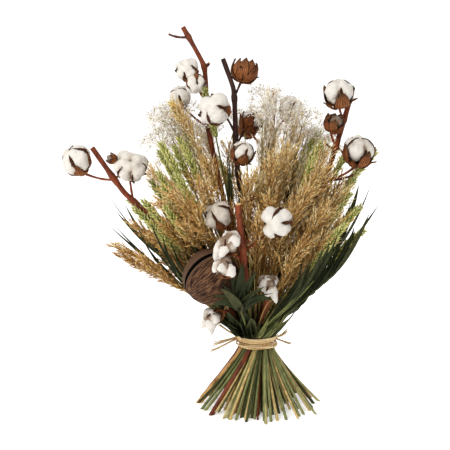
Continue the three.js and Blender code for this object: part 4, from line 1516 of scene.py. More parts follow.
# ---- Umbels ----
@dataclass(frozen=True)
class Umbel(Stem):
    """A fine umbel: thin rays from a hub, each with a little umbel of stalked seeds at its end."""

    name: str
    tip: Point
    size: float
    filler: bool = False

    def build(self, spiral: Spiral, place: Array, seed: int) -> None:
        """Builds the stalk, the rays and the little umbels.

        Args:
            spiral: How the stems run.
            place: Its place in the tie.
            seed: Picks its small differences.
        """
        sheaf = Sheaf()
        rng = np.random.default_rng(seed)
        hub = self.tip[2] - 0.8 * self.size
        path = spiral.line(place, place, np.array(self.tip), np.linspace(0, hub, 34))
        stalk(sheaf, path, np.interp(path[:, 2], [0, ABOVE_TIE, hub], [1.9, 1.6, 0.8]), rng.uniform(0.6, 1))
        axis = unit(path[-1] - path[-3])
        rays, knots = 18, 4
        turn = GOLDEN_TURN * np.arange(rays) + rng.uniform(0, 6.28)
        open_ = 1.05 * np.sqrt((np.arange(rays) + 0.5) / rays)
        side, other = across(axis, np.array([1.0, 0.0, 0.0]))
        ways = circle(open_, axis, circle(turn, side, other))
        reach = self.size * rng.uniform(0.66, 1.0, rays)
        s = np.linspace(0, 1, knots)[None, :, None]
        paths = path[-1] + reach[:, None, None] * (ways[:, None] * s + 0.12 * axis * np.sin(math.pi * s))
        points, quads, caps = tubes(paths, np.linspace(0.55, 0.33, knots)[None], 3)
        sheaf.add(points, [quads, caps], rng.uniform(0.1, 0.9, rays)[:, None, None], 0.2 * s)
        self.little(sheaf, paths[:, -1], ways, rng)
        sheaf.build(f"lace_{self.name}", [UMBEL, STALK, CUT], self.nodes("umbel"))

    def little(self, sheaf: Sheaf, hubs: Array, ways: Array, rng: Random) -> None:
        """The little umbels: straight stalks spread over a cap about each ray's end, tipped with round seeds.

        Args:
            sheaf: What they are added to.
            hubs: The rays' ends.
            ways: The rays' directions.
            rng: Picks the small differences.
        """
        each = 10
        turn = GOLDEN_TURN * np.arange(each)
        open_ = 1.35 * np.sqrt((np.arange(each) + 0.5) / each)
        side, other = across(ways, steady(ways))
        fan = circle(open_, ways[:, None], circle(turn, side[:, None], other[:, None]))
        fan = unit(fan + 0.18 * rng.normal(size=fan.shape)).reshape(-1, 3)
        roots = np.repeat(hubs, each, axis=0)
        many = len(roots)
        long = rng.uniform(5.0, 12.5, many)
        paths = roots[:, None] + long[:, None, None] * fan[:, None] * np.array([0, 1])[None, :, None]
        points, quads, caps = tubes(paths, np.array([[0.28, 0.2]]), 3)
        tone = rng.uniform(0, 1, many)
        sheaf.add(points, [quads, caps], tone[:, None, None], 0.25)
        seed, faces = bud(0.5, 0.45, 4)
        points = scatter(seed, paths[:, 1] - 0.5 * fan, fan, rng.uniform(1.3, 2.7, many), steady(fan))
        sheaf.add(points, [repeat_faces(faces, len(seed), many)], tone[:, None], 1.0)


# ---- Leaves ----
def blades(
    sheaf: Sheaf, roots: Array, starts: Array, ends: Array, lengths: Array, widths: Array, normals: Array,
    rng: Random, keel: float = 0.35, wave: float = 0.0, tone: float = 0.3, rows: int = 14,
    bend: float = 0.5,
) -> None:
    """Long leaves: a keeled section carried along a Bezier curve, with width sin(pi t^0.62)^0.75.

    Args:
        sheaf: What they are added to.
        roots: Where they start.
        starts: The way that each leaves its root.
        ends: The way that each one's tip points.
        lengths: How long they are.
        widths: How wide they are.
        normals: The way that their upper side faces.
        rng: Picks the small differences.
        keel: How deep the fold along the middle is, as a share of half the width.
        wave: How far the edges wave, in millimetres.
        tone: The middle of their tones.
        rows: Points along each.
        bend: How far along its length each one bends.
    """
    many = len(roots)
    t = np.linspace(0, 1, rows)
    s = t[None, :, None]
    middle = roots + starts * (bend * lengths)[:, None]
    tip = middle + ends * ((1 - bend) * lengths)[:, None]
    paths = (1 - s) ** 2 * roots[:, None] + 2 * s * (1 - s) * middle[:, None] + s**2 * tip[:, None]
    axes = unit(np.gradient(paths, axis=1))
    up, side = across(axes, normals[:, None])
    twist = (rng.normal(0, 0.5, many)[:, None] * t[None] ** 1.5)[..., None]
    up, side = np.cos(twist) * up + np.sin(twist) * side, np.cos(twist) * side - np.sin(twist) * up
    taper = np.maximum(np.sin(math.pi * np.clip(t * 0.97 + 0.03, 0, 1) ** 0.62), 0.0) ** 0.75
    half = np.maximum(0.5 * widths[:, None] * taper, 0.12)
    u = np.array([-1, -0.66, -0.33, 0, 0.33, 0.66, 1, 0.66, 0.33, 0, -0.33, -0.66])
    under = np.array([0, 0, 0, 0, 0, 0, 0, 1, 1, 1, 1, 1])
    rise = half[..., None] * keel * np.abs(u) - 0.28 * under * (1 - np.abs(u)) - 0.1 * under
    phase = rng.uniform(0, 6.28, many)[:, None, None]
    waves = np.sin(9 * s * lengths[:, None, None] / 60 + phase + 1.3 * u)
    rise = rise + wave * np.abs(u) ** 1.5 * waves
    points = paths[:, :, None] + side[:, :, None] * (half[..., None] * u)[..., None]
    points = points + up[:, :, None] * rise[..., None]
    tones = np.clip(tone + rng.normal(0, 0.22, many), 0, 1)[:, None, None]
    faces = [grid_faces(many, rows, len(u)), end_caps(many, rows, len(u))]
    sheaf.add(points, faces, tones, s, u)


@dataclass(frozen=True)
class LeafyStem(Stem):
    """A stalk with long blades on both sides of it, or with blades that fan out from its end."""

    name: str
    tip: Point
    length: float
    width: float
    fan: float
    face: Point = (0.0, -1.0, 0.0)
    aim: Point | None = None
    count: int = 15
    tone: float = 0.3
    rise: float = 0.5
    bend: float = 0.5

    def build(self, spiral: Spiral, place: Array, seed: int) -> None:
        """Builds the stalk and its blades.

        Args:
            spiral: How the stems run.
            place: Its place in the tie.
            seed: Picks its small differences.
        """
        sheaf = Sheaf()
        rng = np.random.default_rng(seed)
        path = spiral.line(place, place, np.array(self.tip), np.linspace(0, self.tip[2], 34))
        radii = np.interp(path[:, 2], [0, ABOVE_TIE, self.tip[2]], [2.2, 1.8, 1.1])
        stalk(sheaf, path, radii, rng.uniform(0, 0.4))
        end = path[-1]
        axis = unit(np.array(self.aim)) if self.aim else unit(path[-1] - path[-3])
        normal, side = across(axis, np.array(self.face))
        t = np.linspace(0, 1, self.count)
        if self.aim:
            roots = np.repeat(end[None] - axis, self.count, axis=0)
            swing = self.fan * (2 * t - 1)
        else:
            i = np.interp(t**0.8, [0, 1], [np.searchsorted(path[:, 2], 118), len(path) - 1])
            roots = between(path, i)
            swing = self.fan * rng.uniform(-0.8, 0.8, self.count) * (1 - 0.3 * t)
        lift = rng.normal(0.02, 0.12, self.count)

        def way(angle: Array, out: float) -> Array:
            """The axis turned by the angle towards the side, and lifted out of the fan."""
            return unit(circle(angle, axis, side) + (out + lift)[:, None] * normal)

        lengths = self.length * rng.uniform(0.8, 1.04, self.count) * (1.0 if self.aim else 1.32 - 0.34 * t)
        widths = self.width * rng.uniform(0.5, 1.0, self.count) * (1.0 if self.aim else 0.85)
        normals = np.repeat(normal[None], self.count, axis=0) + 0.35 * rng.normal(size=(self.count, 3))
        starts, ends = way(0.3 * swing, 0.06), way(1.5 * swing, -0.12)
        if not self.aim:
            run = unit(np.gradient(path, axis=0))
            starts = unit(starts + 1.5 * between(run, i) + [0, 0, 0.6 * self.rise - 0.3])
            ends = unit(ends + [0, 0, self.rise])
        blades(sheaf, roots, starts, ends, lengths, widths, normals, rng, tone=self.tone, bend=self.bend)
        nodes = [] if self in MORE_LEAVES else [f"leaves_{self.name}"]
        sheaf.build(f"blades_{self.name}", [LEAF, STALK, CUT], nodes)


@dataclass(frozen=True)
class FoldedLeaves:
    """Broad dry leaves folded round the neck of the bunch, just above the tie.

    Each is a turn about the neck, a height, a length, a width, and how far its tip leans out.
    """

    leaves: tuple[tuple[float, float, float, float, float], ...]
    name: str = "folded_leaves"
    swing: float = 0.2
    finish: StrandFinish = LEAF

    def build(self, spiral: Spiral, seed: int) -> None:
        """Builds the leaves, whose roots are caught among the stems in the tie.

        Args:
            spiral: How the stems run.
            seed: Picks the small differences.
        """
        sheaf = Sheaf()
        rng = np.random.default_rng(seed)
        turn, low, long, wide, lean = np.array(self.leaves).T
        turn = np.radians(turn)
        out = np.stack([np.cos(turn), np.sin(turn), 0 * turn], axis=1)
        round_ = np.stack([-np.sin(turn), np.cos(turn), 0 * turn], axis=1)
        roots = out * (spiral.neck + 2) + np.stack([0 * low, 0 * low, low], axis=1)
        up = np.array([0.0, 0.0, 1.0])
        starts = unit(up + out * 1.05 + round_ * (0.2 + self.swing))
        ends = unit(up + out * lean[:, None] + round_ * rng.normal(self.swing, 0.35, (len(turn), 1)))
        blades(sheaf, roots, starts, ends, long, wide, out, rng, 0.5, 0.09 * wide.mean(), 0.25, 24)
        sheaf.build(self.name, [self.finish])


# ---- The woody pod ----
@dataclass(frozen=True)
class WoodyPod(Stem):
    """A round fibrous husk with a slit between two smooth lips, on a stout stalk.

    lip_side is 1 or -1, for the side of the slit that its broad lip lies on.
    """

    at: Point = (-68, -80, 218)
    radius: float = 40.0
    stem: Point = (-26, -44, 174)
    axis: Point = (0.72, 0.05, 0.69)
    slit: Point = (-0.62, -0.62, 0.52)
    lip_side: int = -1

    @property
    def head(self) -> Point:
        """The point that its place in the tie is chosen for."""
        return self.stem

    def build(self, spiral: Spiral, place: Array, seed: int) -> None:
        """Builds the husk and its stalk.

        The radius is 1, plus a raised lip on each side of the slit, less the slit, plus ridges that run from
        pole to pole and wander with height.

        Args:
            spiral: How the stems run.
            place: The place in the tie.
            seed: Picks the fibres.
        """
        sheaf = Sheaf()
        axis = unit(np.array(self.axis))
        front, left = across(axis, np.array(self.slit))
        rows, columns = 92, 216
        polar = np.linspace(math.pi, 0, rows + 2)[1:-1]
        turn = np.linspace(-math.pi, math.pi, columns, endpoint=False)
        turn = turn - 0.55 * np.sin(turn)  # more columns about the slit
        polar, turn = np.meshgrid(polar, turn, indexing="ij")
        wide = np.minimum(1, np.sin(polar) * 1.6)
        degrees = np.degrees(turn) * self.lip_side
        lip = (smooth(-np.abs(degrees - 19), -15.5, -14) + smooth(-np.abs(degrees + 6), -3.4, -2)) * wide
        slit = smooth(-np.abs(degrees), -4.0, -3.0) * wide
        ridges = np.stack([26 * np.cos(turn), 26 * np.sin(turn), 2.2 * np.cos(polar)], axis=-1)
        fine = np.stack([70 * np.cos(turn), 70 * np.sin(turn), 5 * np.cos(polar)], axis=-1)
        rough = 0.013 * ripple(ridges, 9, seed) + 0.019 * ripple(fine, 9, seed + 1)
        body = smooth(np.abs(degrees - 13), 20.5, 23)
        far = 1 + 0.035 * lip - 0.3 * slit + rough * (0.15 + 0.85 * body) * np.sin(polar) ** 0.5
        ways = circle(polar, 1.02 * axis, circle(turn, front, left))
        at = np.array(self.at)
        points = at + ways * (self.radius * far)[..., None]
        points = np.concatenate([at - [axis * self.radius], points.reshape(-1, 3), at + [axis * self.radius]])
        # Painted shade: tone falls to 0 along the slit, which the finish paints near black.
        dark = smooth(-np.abs(degrees), -5.4, -4.4) * wide
        tone = np.concatenate([[0.5], ((1 - 0.5 * body) * (1 - dark)).ravel(), [0.5]])
        along = np.concatenate([[0], (1 - polar / math.pi).ravel(), [1]])
        around = np.concatenate([[0], np.sin(turn / 2).ravel(), [0]])
        sheaf.add(points, ball_faces(rows, columns), tone, along, around)
        heights = np.linspace(0, ABOVE_TIE, 14)
        low = spiral.line(place, place, np.array(self.stem), heights, parts=False)
        line = np.concatenate([low, [self.stem, at - 0.9 * self.radius * axis]])
        path = smooth_path(line, 4.0, 0.5)
        stalk(sheaf, path, np.interp(path[:, 2], [0, ABOVE_TIE, 180], [2.3, 2.4, 3.2]), 0.3)
        sheaf.build("pod_husk", [POD_HUSK, RED_STALK, CUT], ["woody_pod"])


# ---- The tie ----
@dataclass(frozen=True)
class RaffiaTie:
    """Raffia strands wound round the neck, knotted at the back, with loose curling ends."""

    half: float = 7.5
    strands: int = 13
    ends: tuple[tuple[Point, Point], ...] = (
        ((-33, 10, 98), (-66, -12, 88)),
        ((-33, 12, 101), (-64, -8, 95)),
        ((-34, 14, 106), (-58, 4, 124)),
        ((32, 12, 99), (50, -4, 97)),
        ((33, 12, 103), (46, 2, 112)),
    )

    def reach(self, spiral: Spiral, z: Array) -> Array:
        """How far out the bundled stems reach at a height above or below the middle of the band.

        Args:
            spiral: How the stems run.
            z: The height from the middle of the band.

        Returns:
            The distance from the axis.
        """
        rise = 28.0
        slope = 1.3 * (math.hypot(rise, spiral.bend) - spiral.bend) * spiral.head_spread / rise
        return spiral.neck + slope * np.abs(z) + 1.1 * 3.5 + 0.35

    def build(self, spiral: Spiral, seed: int) -> None:
        """Builds the wound strands, the knot and the loose ends.

        A strand's height wanders as two sines of its turn, and its distance is the bundle's reach there plus
        its own layer.

        Args:
            spiral: How the stems run.
            seed: Picks how each strand lies.
        """
        sheaf = Sheaf()
        rng = np.random.default_rng(seed)
        many, steps = self.strands, 112
        turn = np.linspace(0, 2 * math.pi, steps)[None] + math.pi / 2
        home = np.linspace(-self.half + 1.2, self.half - 1.2, many)[:, None]
        phase = rng.uniform(0, 6.28, (many, 2))
        z = home + 0.9 * np.sin(turn + phase[:, :1]) + 0.5 * np.sin(3 * turn + phase[:, 1:])
        z = np.clip(z, -self.half - 0.3, self.half + 0.3)
        layer = 0.55 + 0.5 * (np.arange(many)[:, None] % 3) + 0.25 * np.sin(5 * turn + phase[:, 1:])
        far = self.reach(spiral, z) + layer
        paths = np.stack([far * np.cos(turn), far * np.sin(turn), spiral.tie + z], axis=-1)
        widths = rng.uniform(1.0, 1.9, (many, 1))
        points, quads, caps = tubes(paths, widths, 6, np.array([0.0, 0.0, 1.0]), 0.38)
        tone = rng.uniform(0.1, 1, many)[:, None, None]
        around = np.linspace(-1, 1, 6)[None, None]
        sheaf.add(points, [quads, caps], tone, 0.5 + 0.5 * np.sin(7 * turn)[..., None], around)
        knot = np.array([0, self.reach(spiral, np.array(0.0)) + 3.0, spiral.tie])
        self.knot(sheaf, knot, rng)
        for i, (bend, end) in enumerate(self.ends):
            for strand in range(3):
                self.loose(sheaf, knot, np.array(bend), np.array(end), rng, strand, i)
        sheaf.build("raffia_wraps", [RAFFIA], ["raffia_tie"])

    def knot(self, sheaf: Sheaf, at: Array, rng: Random) -> None:
        """The knot: three strands, each round a flat trefoil that waves in its depth.

        Args:
            sheaf: What it is added to.
            at: Its middle.
            rng: Picks its tones.
        """
        a = np.linspace(0, 2 * math.pi, 80)
        for i in range(3):
            size = 3.0 + 0.7 * i
            path = np.stack(
                [
                    size * (np.sin(a) + 1.1 * np.sin(2 * a)) * 0.62,
                    1.6 * np.sin(3 * a) + 0.4 * i,
                    size * (np.cos(a) - 1.1 * np.cos(2 * a)) * 0.5,
                ],
                axis=1,
            )
            points, quads, caps = tubes((at + path)[None], 1.35, 7, np.array([0.0, 1.0, 0.0]), 0.55)
            sheaf.add(points, [quads, caps], rng.uniform(0.2, 0.9), 0.5, np.linspace(-1, 1, 7))

    def loose(
        self, sheaf: Sheaf, knot: Array, bend: Array, end: Array, rng: Random, strand: int, i: int
    ) -> None:
        """A loose end: a smooth curve through knot, bend and end, with a curl that grows towards the tip.

        Args:
            sheaf: What it is added to.
            knot: Where it starts.
            bend: The point where it turns forward.
            end: Its tip.
            rng: Picks its curl.
            strand: Which of the strands that run side by side it is.
            i: Which end it belongs to.
        """
        spread = rng.normal(0, 1, 3) * (0.8, 0.8, 1.2) * strand
        line = smooth_path(np.array([knot, bend + 0.5 * spread, end + 2.2 * spread]), 1.6, 0.9)
        s = np.linspace(0, 1, len(line))[:, None]
        turns = [np.sin(5 * s + i), np.cos(4 * s + strand), np.sin(6 * s + 2 * i)]
        curl = 2.2 * s**3 * np.concatenate(turns, axis=1)
        width = (2.1, 1.6, 1.0)[strand]
        path = line + curl
        points, quads, caps = tubes(path[None], (width * (1 - 0.5 * s[:, 0]))[None], 6, None, 0.5)
        sheaf.add(points, [quads, caps], rng.uniform(0.6, 1.0), s[None], np.linspace(-1, 1, 6))


@dataclass(frozen=True)
class FillerStems:
    """Bare stalks that fill out the foot of the bunch and end among the leaves."""

    count: int = 62

    def build(self, spiral: Spiral, seed: int) -> None:
        """Builds the stalks at golden turns over the neck, so that none stands on another.

        Args:
            spiral: How the stems run.
            seed: Picks their lengths, colours and girths.
        """
        sheaf = Sheaf()
        rng = np.random.default_rng(seed)
        for i in range(self.count):
            far = spiral.neck * 1.02 * math.sqrt((i + 0.7) / self.count)
            turn = GOLDEN_TURN * i + 0.5
            neck = np.array([far * math.cos(turn), far * math.sin(turn)])
            heights = np.linspace(rng.choice([0.0, 0.0, 3.0, 7.0]), rng.uniform(150, 200), 19)
            path = spiral.part(spiral.flow(neck, heights))
            flare = np.clip(1 - heights / 102, 0, 1)[:, None] ** 1.5
            path[:, :2] += flare * (0.13 * path[:, :2] + [3, 0])
            radii = rng.uniform(1.1, 2.9) * np.interp(heights, [0, 102, 190], [1.05, 0.85, 0.35])
            finish = 2 if rng.uniform() < 0.22 else 0
            # Painted shade: stalks deep inside the neck get a darker tone.
            tone = float(rng.beta(0.8, 0.8)) * (0.3 if far < 0.62 * spiral.neck else 1.0)
            stalk(sheaf, path, radii, tone, finish, 1)
        sheaf.build("filler_stems", [STALK, CUT, RED_STALK])


# ---- What is in the bunch ----
BRANCHES = (
    CottonBranch(
        "centre", ((-32, -20, 395), (-36, -5, 485), (-51, 0, 527)),
        (
            Boll((-18, 8, 512), 20.5, (0.3, 0.35, 0.85), 5, 470, Husk.SPENT),
            Boll((-62, -42, 457), 25, (-0.5, -0.75, 0.35), 4, 415),
            Boll((-8, 24, 432), 18, (0.6, 0.3, 0.7), 4, 395, Husk.CUPPED),
            Boll((-22, -55, 396), 18, (0.3, -0.3, 0.9), 4, 360, Husk.CUPPED),
        ),
        tone=0.12,
    ),
    CottonBranch(
        "upper_left", ((-75, 12, 440), (-79, 15, 515), (-110, 20, 572)),
        (
            Boll(
                (-103, -8, 511), 18.5, (-0.3, -0.75, 0.6), 4, 462,
                twin=Boll((-91, -18, 493), 15.5, (0.2, -0.6, -0.75), 4, 462),
            ),
            Boll((-116, 30, 467), 18.5, (-0.3, -0.5, 0.8), 4, 425),
        ),
        tone=0.72, forks=((558, (-131, 14, 562), 1.5), (514, (-71, 10, 520), 2.2)),
    ),
    CottonBranch(
        "right", ((99, -30, 352), (122, -20, 425), (138, -10, 478)),
        (
            Boll((115, -42, 481), 23, (-0.1, -0.35, 0.9), 4, 440, Husk.CUPPED),
            Boll((111, -40, 438), 15.5, (0.3, -0.4, 0.85), 4, 405, Husk.SPENT),
            Boll((146, -42, 396), 24, (0.2, -0.2, 0.95), 5, 352, Husk.CUPPED),
        ),
        tone=0.85, forks=((398, (97, -34, 408), 1.4), (352, (140, -40, 362), 1.5)),
    ),
    CottonBranch(
        "left", ((-144, -25, 285), (-196, -20, 331), (-244, -10, 397)),
        (
            Boll((-267, -24, 379), 24.5, (-0.45, -0.45, 0.8), 4, 349),
            Boll(
                # Painted shade: this boll's cotton is dimmed a little.
                (-186, -44, 374), 26, (0.1, -0.8, 0.6), 5, 318, Husk.BURST, painted_shade=0.3,
                twin=Boll((-213, -50, 387), 8, (-0.7, -0.4, 0.5), 3, 318, Husk.SPENT),
            ),
        ),
        tone=0.75, forks=((357, (-218, -14, 362), 1.6),),
    ),
    CottonBranch(
        "front", ((-19, -95, 224), (-24, -115, 272), (-30, -130, 334)),
        (
            Boll((24, -124, 307), 24.5, (-0.35, -0.85, 0.1), 4, 262),
            # Painted shade: this boll lies in shade behind a plume, so its cotton is dimmed.
            Boll((-58, -84, 308), 22, (-0.5, -0.5, 0.7), 4, 280, painted_shade=0.7),
            Boll((-42, -132, 279), 22, (-0.2, -0.6, 0.8), 3, 250, Husk.LOOSE),
            Boll((-49, -140, 247), 20, (-0.2, -0.6, 0.8), 3, 222, Husk.LOOSE),
        ),
        tone=0.8, forks=((276, (-12, -128, 282), 2.0),), girth=1.12,
    ),
    CottonBranch(
        "front_low", ((12, -54, 166), (16, -64, 186)),
        (Boll((14, -84, 209), 19, (0.1, -0.8, 0.6), 4, 178, Husk.LOOSE),),
    ),
    CottonBranch(
        "low_left", ((-38, -42, 153), (-46, -54, 164)),
        (Boll((-66, -74, 156), 19, (-0.8, -0.6, -0.3), 4, 150, Husk.LOOSE),),
    ),
    CottonBranch(
        "back", ((15, 70, 300), (25, 105, 400), (30, 125, 470)),
        (
            Boll((55, 121, 440), 22, (0.5, 0.5, 0.7), 5, 400, Husk.BURST),
            Boll((-14, 142, 410), 22, (-0.4, 0.8, 0.5), 4, 370),
            Boll((44, 124, 350), 23, (0.4, 0.9, 0.3), 5, 315),
        ),
        tone=0.8,
    ),
)
POD = WoodyPod()
EARS = (
    Ears("tall", (-97, -18, 484), 2, 78),
    Ears("upper_left", (-140, -34, 412), 2, 76),
    Ears("front_left", (-119, -62, 357), 2, 80),
    Ears("left", (-178, 12, 322), 2, 78),
    Ears("upper_right", (88, 6, 418), 2, 80),
    Ears("right", (158, 6, 410), 2, 72),
    Ears("low_right", (140, -52, 318), 3, 74),
    Ears("back", (-70, 128, 380), 2, 78),
)
PLUMES = (
    Plumes("middle", (-4, -79, 388), 2, 105, tone=0.56),
    Plumes("inner_right", (50, -28, 408), 3, 115, tone=0.75),
    Plumes("front_right", (74, -84, 366), 3, 115, tone=0.64),
    Plumes("low_right", (100, -106, 302), 2, 100, tone=0.58),
    Plumes("front_left", (-124, -94, 346), 2, 84, tone=0.42),
    Plumes("tail", (-188, -36, 258), 2, 92, tone=0.22, width=0.5),
    Plumes("back_left", (-140, 84, 350), 2, 100, tone=0.55),
    Plumes("back_right", (100, 92, 372), 2, 110, tone=0.6),
)
UMBELS = (
    Umbel("far_left", (-142, 24, 446), 38),
    Umbel("back_left", (-130, 78, 412), 40),
    Umbel("inner_left", (-92, 48, 400), 36),
    Umbel("middle", (8, 30, 474), 38),
    Umbel("inner_right", (54, 22, 460), 40),
    Umbel("back_right", (68, 58, 424), 38),
)
LEAFY_STEMS = (
    LeafyStem("outer_right", (120, 8, 240), 118, 13, 0.28, (0.3, -1, 0), count=9, rise=1.7),
    LeafyStem("inner_right", (112, -62, 220), 108, 12, 0.3, (0.2, -1, 0.3), count=10, rise=1.5),
    LeafyStem("left", (-150, 6, 236), 110, 8, 0.42, (-0.3, -1, 0)),
    LeafyStem("upright", (-40, -36, 306), 110, 8, 0.22, (0, -1, 0)),
    LeafyStem("palm", (-28, -104, 178), 78, 18, 1.35, aim=(-0.1, -0.35, 0.93), count=10, tone=0.35),
    LeafyStem("back", (40, 96, 230), 110, 12, 0.5, (0.4, 1, 0)),
)
MORE_LEAVES = (
    LeafyStem("right_front", (66, -118, 216), 94, 9, 0.34, (0.2, -1, 0.2), count=16, tone=0.22),
    LeafyStem("right_low", (78, -104, 218), 92, 8, 0.3, (0.2, -1, 0.2), count=12, tone=0.25, rise=0.9),
    LeafyStem(
        "stray_right", (54, -40, 181), 212, 13, 0.756, (0, -1, 0), (0.985, -0.1, -0.14),
        count=1, tone=0.3, bend=0.2,
    ),
    # Painted shade: the next four stems carry nearly black leaves that stand in for the shade deep inside the
    # bunch.
    LeafyStem("dark_pod", (-92, -44, 242), 104, 11, 0.4, (-0.1, -1, 0), count=14, tone=0.12),
    LeafyStem("dark_tail", (-122, -28, 252), 100, 10, 0.42, (-0.2, -1, 0), count=14, tone=0.12),
    LeafyStem("dark_high", (10, -6, 312), 112, 9, 0.34, (0, -1, 0), count=16, tone=0.1),
    LeafyStem("dark_inner", (44, 10, 300), 112, 9, 0.3, (0, -1, 0), count=14, tone=0.12),
    LeafyStem("left_front", (-112, -72, 226), 108, 7, 0.4, (-0.2, -1, 0.2), count=12, tone=0.25),
    # Painted shade: the next four stems, too, carry dark leaves that stand in for the shade deep inside the
    # bunch.
    LeafyStem("dark_low", (-6, -22, 196), 84, 10, 0.5, (0, -1, 0), count=14, tone=0.15),
    LeafyStem("dark_middle", (12, -8, 262), 120, 8, 0.3, (0, -1, 0), count=12, tone=0.2),
    LeafyStem("dark_right", (60, -20, 250), 120, 8, 0.3, (0.2, -1, 0), count=12, tone=0.2),
    LeafyStem("dark_left", (-82, -20, 250), 120, 10, 0.3, (-0.2, -1, 0), count=12, tone=0.2),
    LeafyStem("thin_left", (-136, -30, 214), 120, 6, 0.5, (-0.2, -1, 0), count=9, tone=0.2),
)
# The rest of the bunch: more of the same grasses, between the ones that the solids hold.
MORE_EARS = (
    Ears("left_mid", (-150, -44, 372), 2, 80, True),
    Ears("left_front", (-172, -50, 332), 2, 80, True),
    Ears("left_front_low", (-158, -68, 300), 1, 76, True),
    Ears("inner_left", (-116, -30, 420), 2, 78, True),
    Ears("low_left", (-140, -80, 326), 2, 78, True),
    Ears("centre_left", (-124, -90, 372), 2, 80, True),
    Ears("right_mid", (132, -46, 358), 2, 78, True),
    Ears("right_low", (126, -108, 322), 2, 76, True),
    Ears("right_lower", (112, -112, 306), 2, 76, True),
    Ears("right_top", (84, -44, 410), 2, 76, True),
    Ears("behind", (20, 120, 340), 2, 78, True),
    Ears("behind_left", (-120, 110, 330), 2, 78, True),
)
MORE_PLUMES = (
    Plumes("right_1", (24, -58, 396), 2, 110, True, 0.7),
    Plumes("right_2", (82, -50, 392), 2, 112, True, 0.75),
    Plumes("right_3", (98, -74, 340), 2, 108, True, 0.62),
    Plumes("right_4", (48, -100, 344), 2, 108, True, 0.54),
    Plumes("right_5", (60, -112, 300), 2, 100, True, 0.4),
    Plumes("right_6", (112, -34, 346), 2, 108, True, 0.55),
    Plumes("right_7", (66, 14, 400), 2, 112, True, 0.3, 1.0, PALE_PLUME),
    Plumes("right_8", (4, -104, 330), 2, 96, True, 0.4),
    Plumes("right_9", (16, -6, 416), 1, 112, True, 0.35, 1.0, PALE_PLUME),
    Plumes("top_1", (6, -12, 466), 1, 112, True, 0.55, 0.7, PALE_PLUME),
    Plumes("top_2", (44, -14, 434), 1, 112, True, 0.4, 0.7, PALE_PLUME),
    Plumes("top_3", (-106, -22, 458), 1, 84, True, 0.7),
    # Painted shade: the next four plumes take the darkest tones, to stand in for the shade deep in the middle
    # of the bunch.
    Plumes("middle_1", (34, -66, 300), 2, 104, True, 0.12),
    Plumes("middle_2", (8, -50, 304), 2, 104, True, 0.1),
    Plumes("middle_3", (66, -70, 268), 2, 96, True, 0.15),
    Plumes("middle_4", (-34, -56, 330), 2, 100, True, 0.15),
    Plumes("left_7", (-142, -44, 268), 1, 92, True, 0.2, 0.8),
    Plumes("left_8", (-130, -56, 292), 2, 92, True, 0.3, 0.8),
    Plumes("left_9", (-120, -30, 250), 2, 92, True, 0.2),
    Plumes("left_1", (-84, -80, 348), 2, 100, True, 0.44),
    Plumes("left_2", (-78, -24, 376), 2, 100, True, 0.5),
    Plumes("left_3", (-94, -92, 318), 2, 92, True, 0.36),
    Plumes("left_4", (-170, -20, 280), 1, 92, True, 0.25, 0.6),
    Plumes("left_5", (-166, -66, 240), 1, 88, True, 0.2, 0.5),
    Plumes("left_6", (-112, 20, 424), 1, 96, True, 0.7),
    Plumes("behind_1", (40, 110, 380), 2, 108, True, 0.6),
    Plumes("behind_2", (-60, 110, 400), 2, 104, True, 0.55),
    Plumes("behind_3", (90, 60, 340), 2, 104, True, 0.5),
    Plumes("behind_4", (-110, 60, 330), 2, 100, True, 0.5),
    Plumes("behind_5", (0, 132, 320), 2, 100, True, 0.5),
)
MORE_UMBELS = (
    Umbel("left_1", (-152, 6, 420), 34, True),
    Umbel("left_2", (-118, 30, 456), 34, True),
    Umbel("left_3", (-112, 4, 428), 34, True),
    Umbel("left_4", (-78, 20, 430), 32, True),
    Umbel("left_5", (-138, 50, 388), 34, True),
    Umbel("left_6", (-126, -8, 440), 34, True),
    Umbel("right_1", (28, -22, 448), 34, True),
    Umbel("right_3", (92, 28, 418), 28, True),
    Umbel("right_5", (6, -24, 462), 32, True),
    Umbel("left_7", (-146, 8, 456), 30, True),
    Umbel("right_2", (72, 36, 448), 34, True),
    Umbel("right_6", (108, 46, 404), 30, True),
    Umbel("behind", (-20, 80, 440), 34, True),
)
FOLDED = FoldedLeaves(
    (
        (-150, 113, 70, 26, 1.3), (-134, 113, 74, 28, 0.9), (-118, 112, 70, 26, 0.6),
        (-108, 114, 62, 24, 1.2),
        (-143, 115, 58, 24, 2.2), (-168, 113, 64, 22, 1.2), (-126, 118, 54, 24, 1.6), (-30, 122, 96, 12, 1.1),
        (60, 113, 84, 20, 0.9), (100, 113, 84, 22, 0.8), (140, 113, 84, 20, 1.0),
    )
)
CROSSING = FoldedLeaves(
    (
        (-104, 108, 52, 6, 0.5), (-98, 108, 60, 5, 0.5), (-92, 108, 56, 6, 0.5), (-86, 108, 62, 5, 0.5),
        (-80, 108, 54, 6, 0.5), (-74, 108, 60, 5, 0.5), (-68, 108, 56, 6, 0.4), (-62, 108, 60, 5, 0.4),
        (-56, 108, 54, 6, 0.4), (-50, 108, 60, 6, 0.4),
    ),
    "crossing_leaves", 0.55, STALK,
)


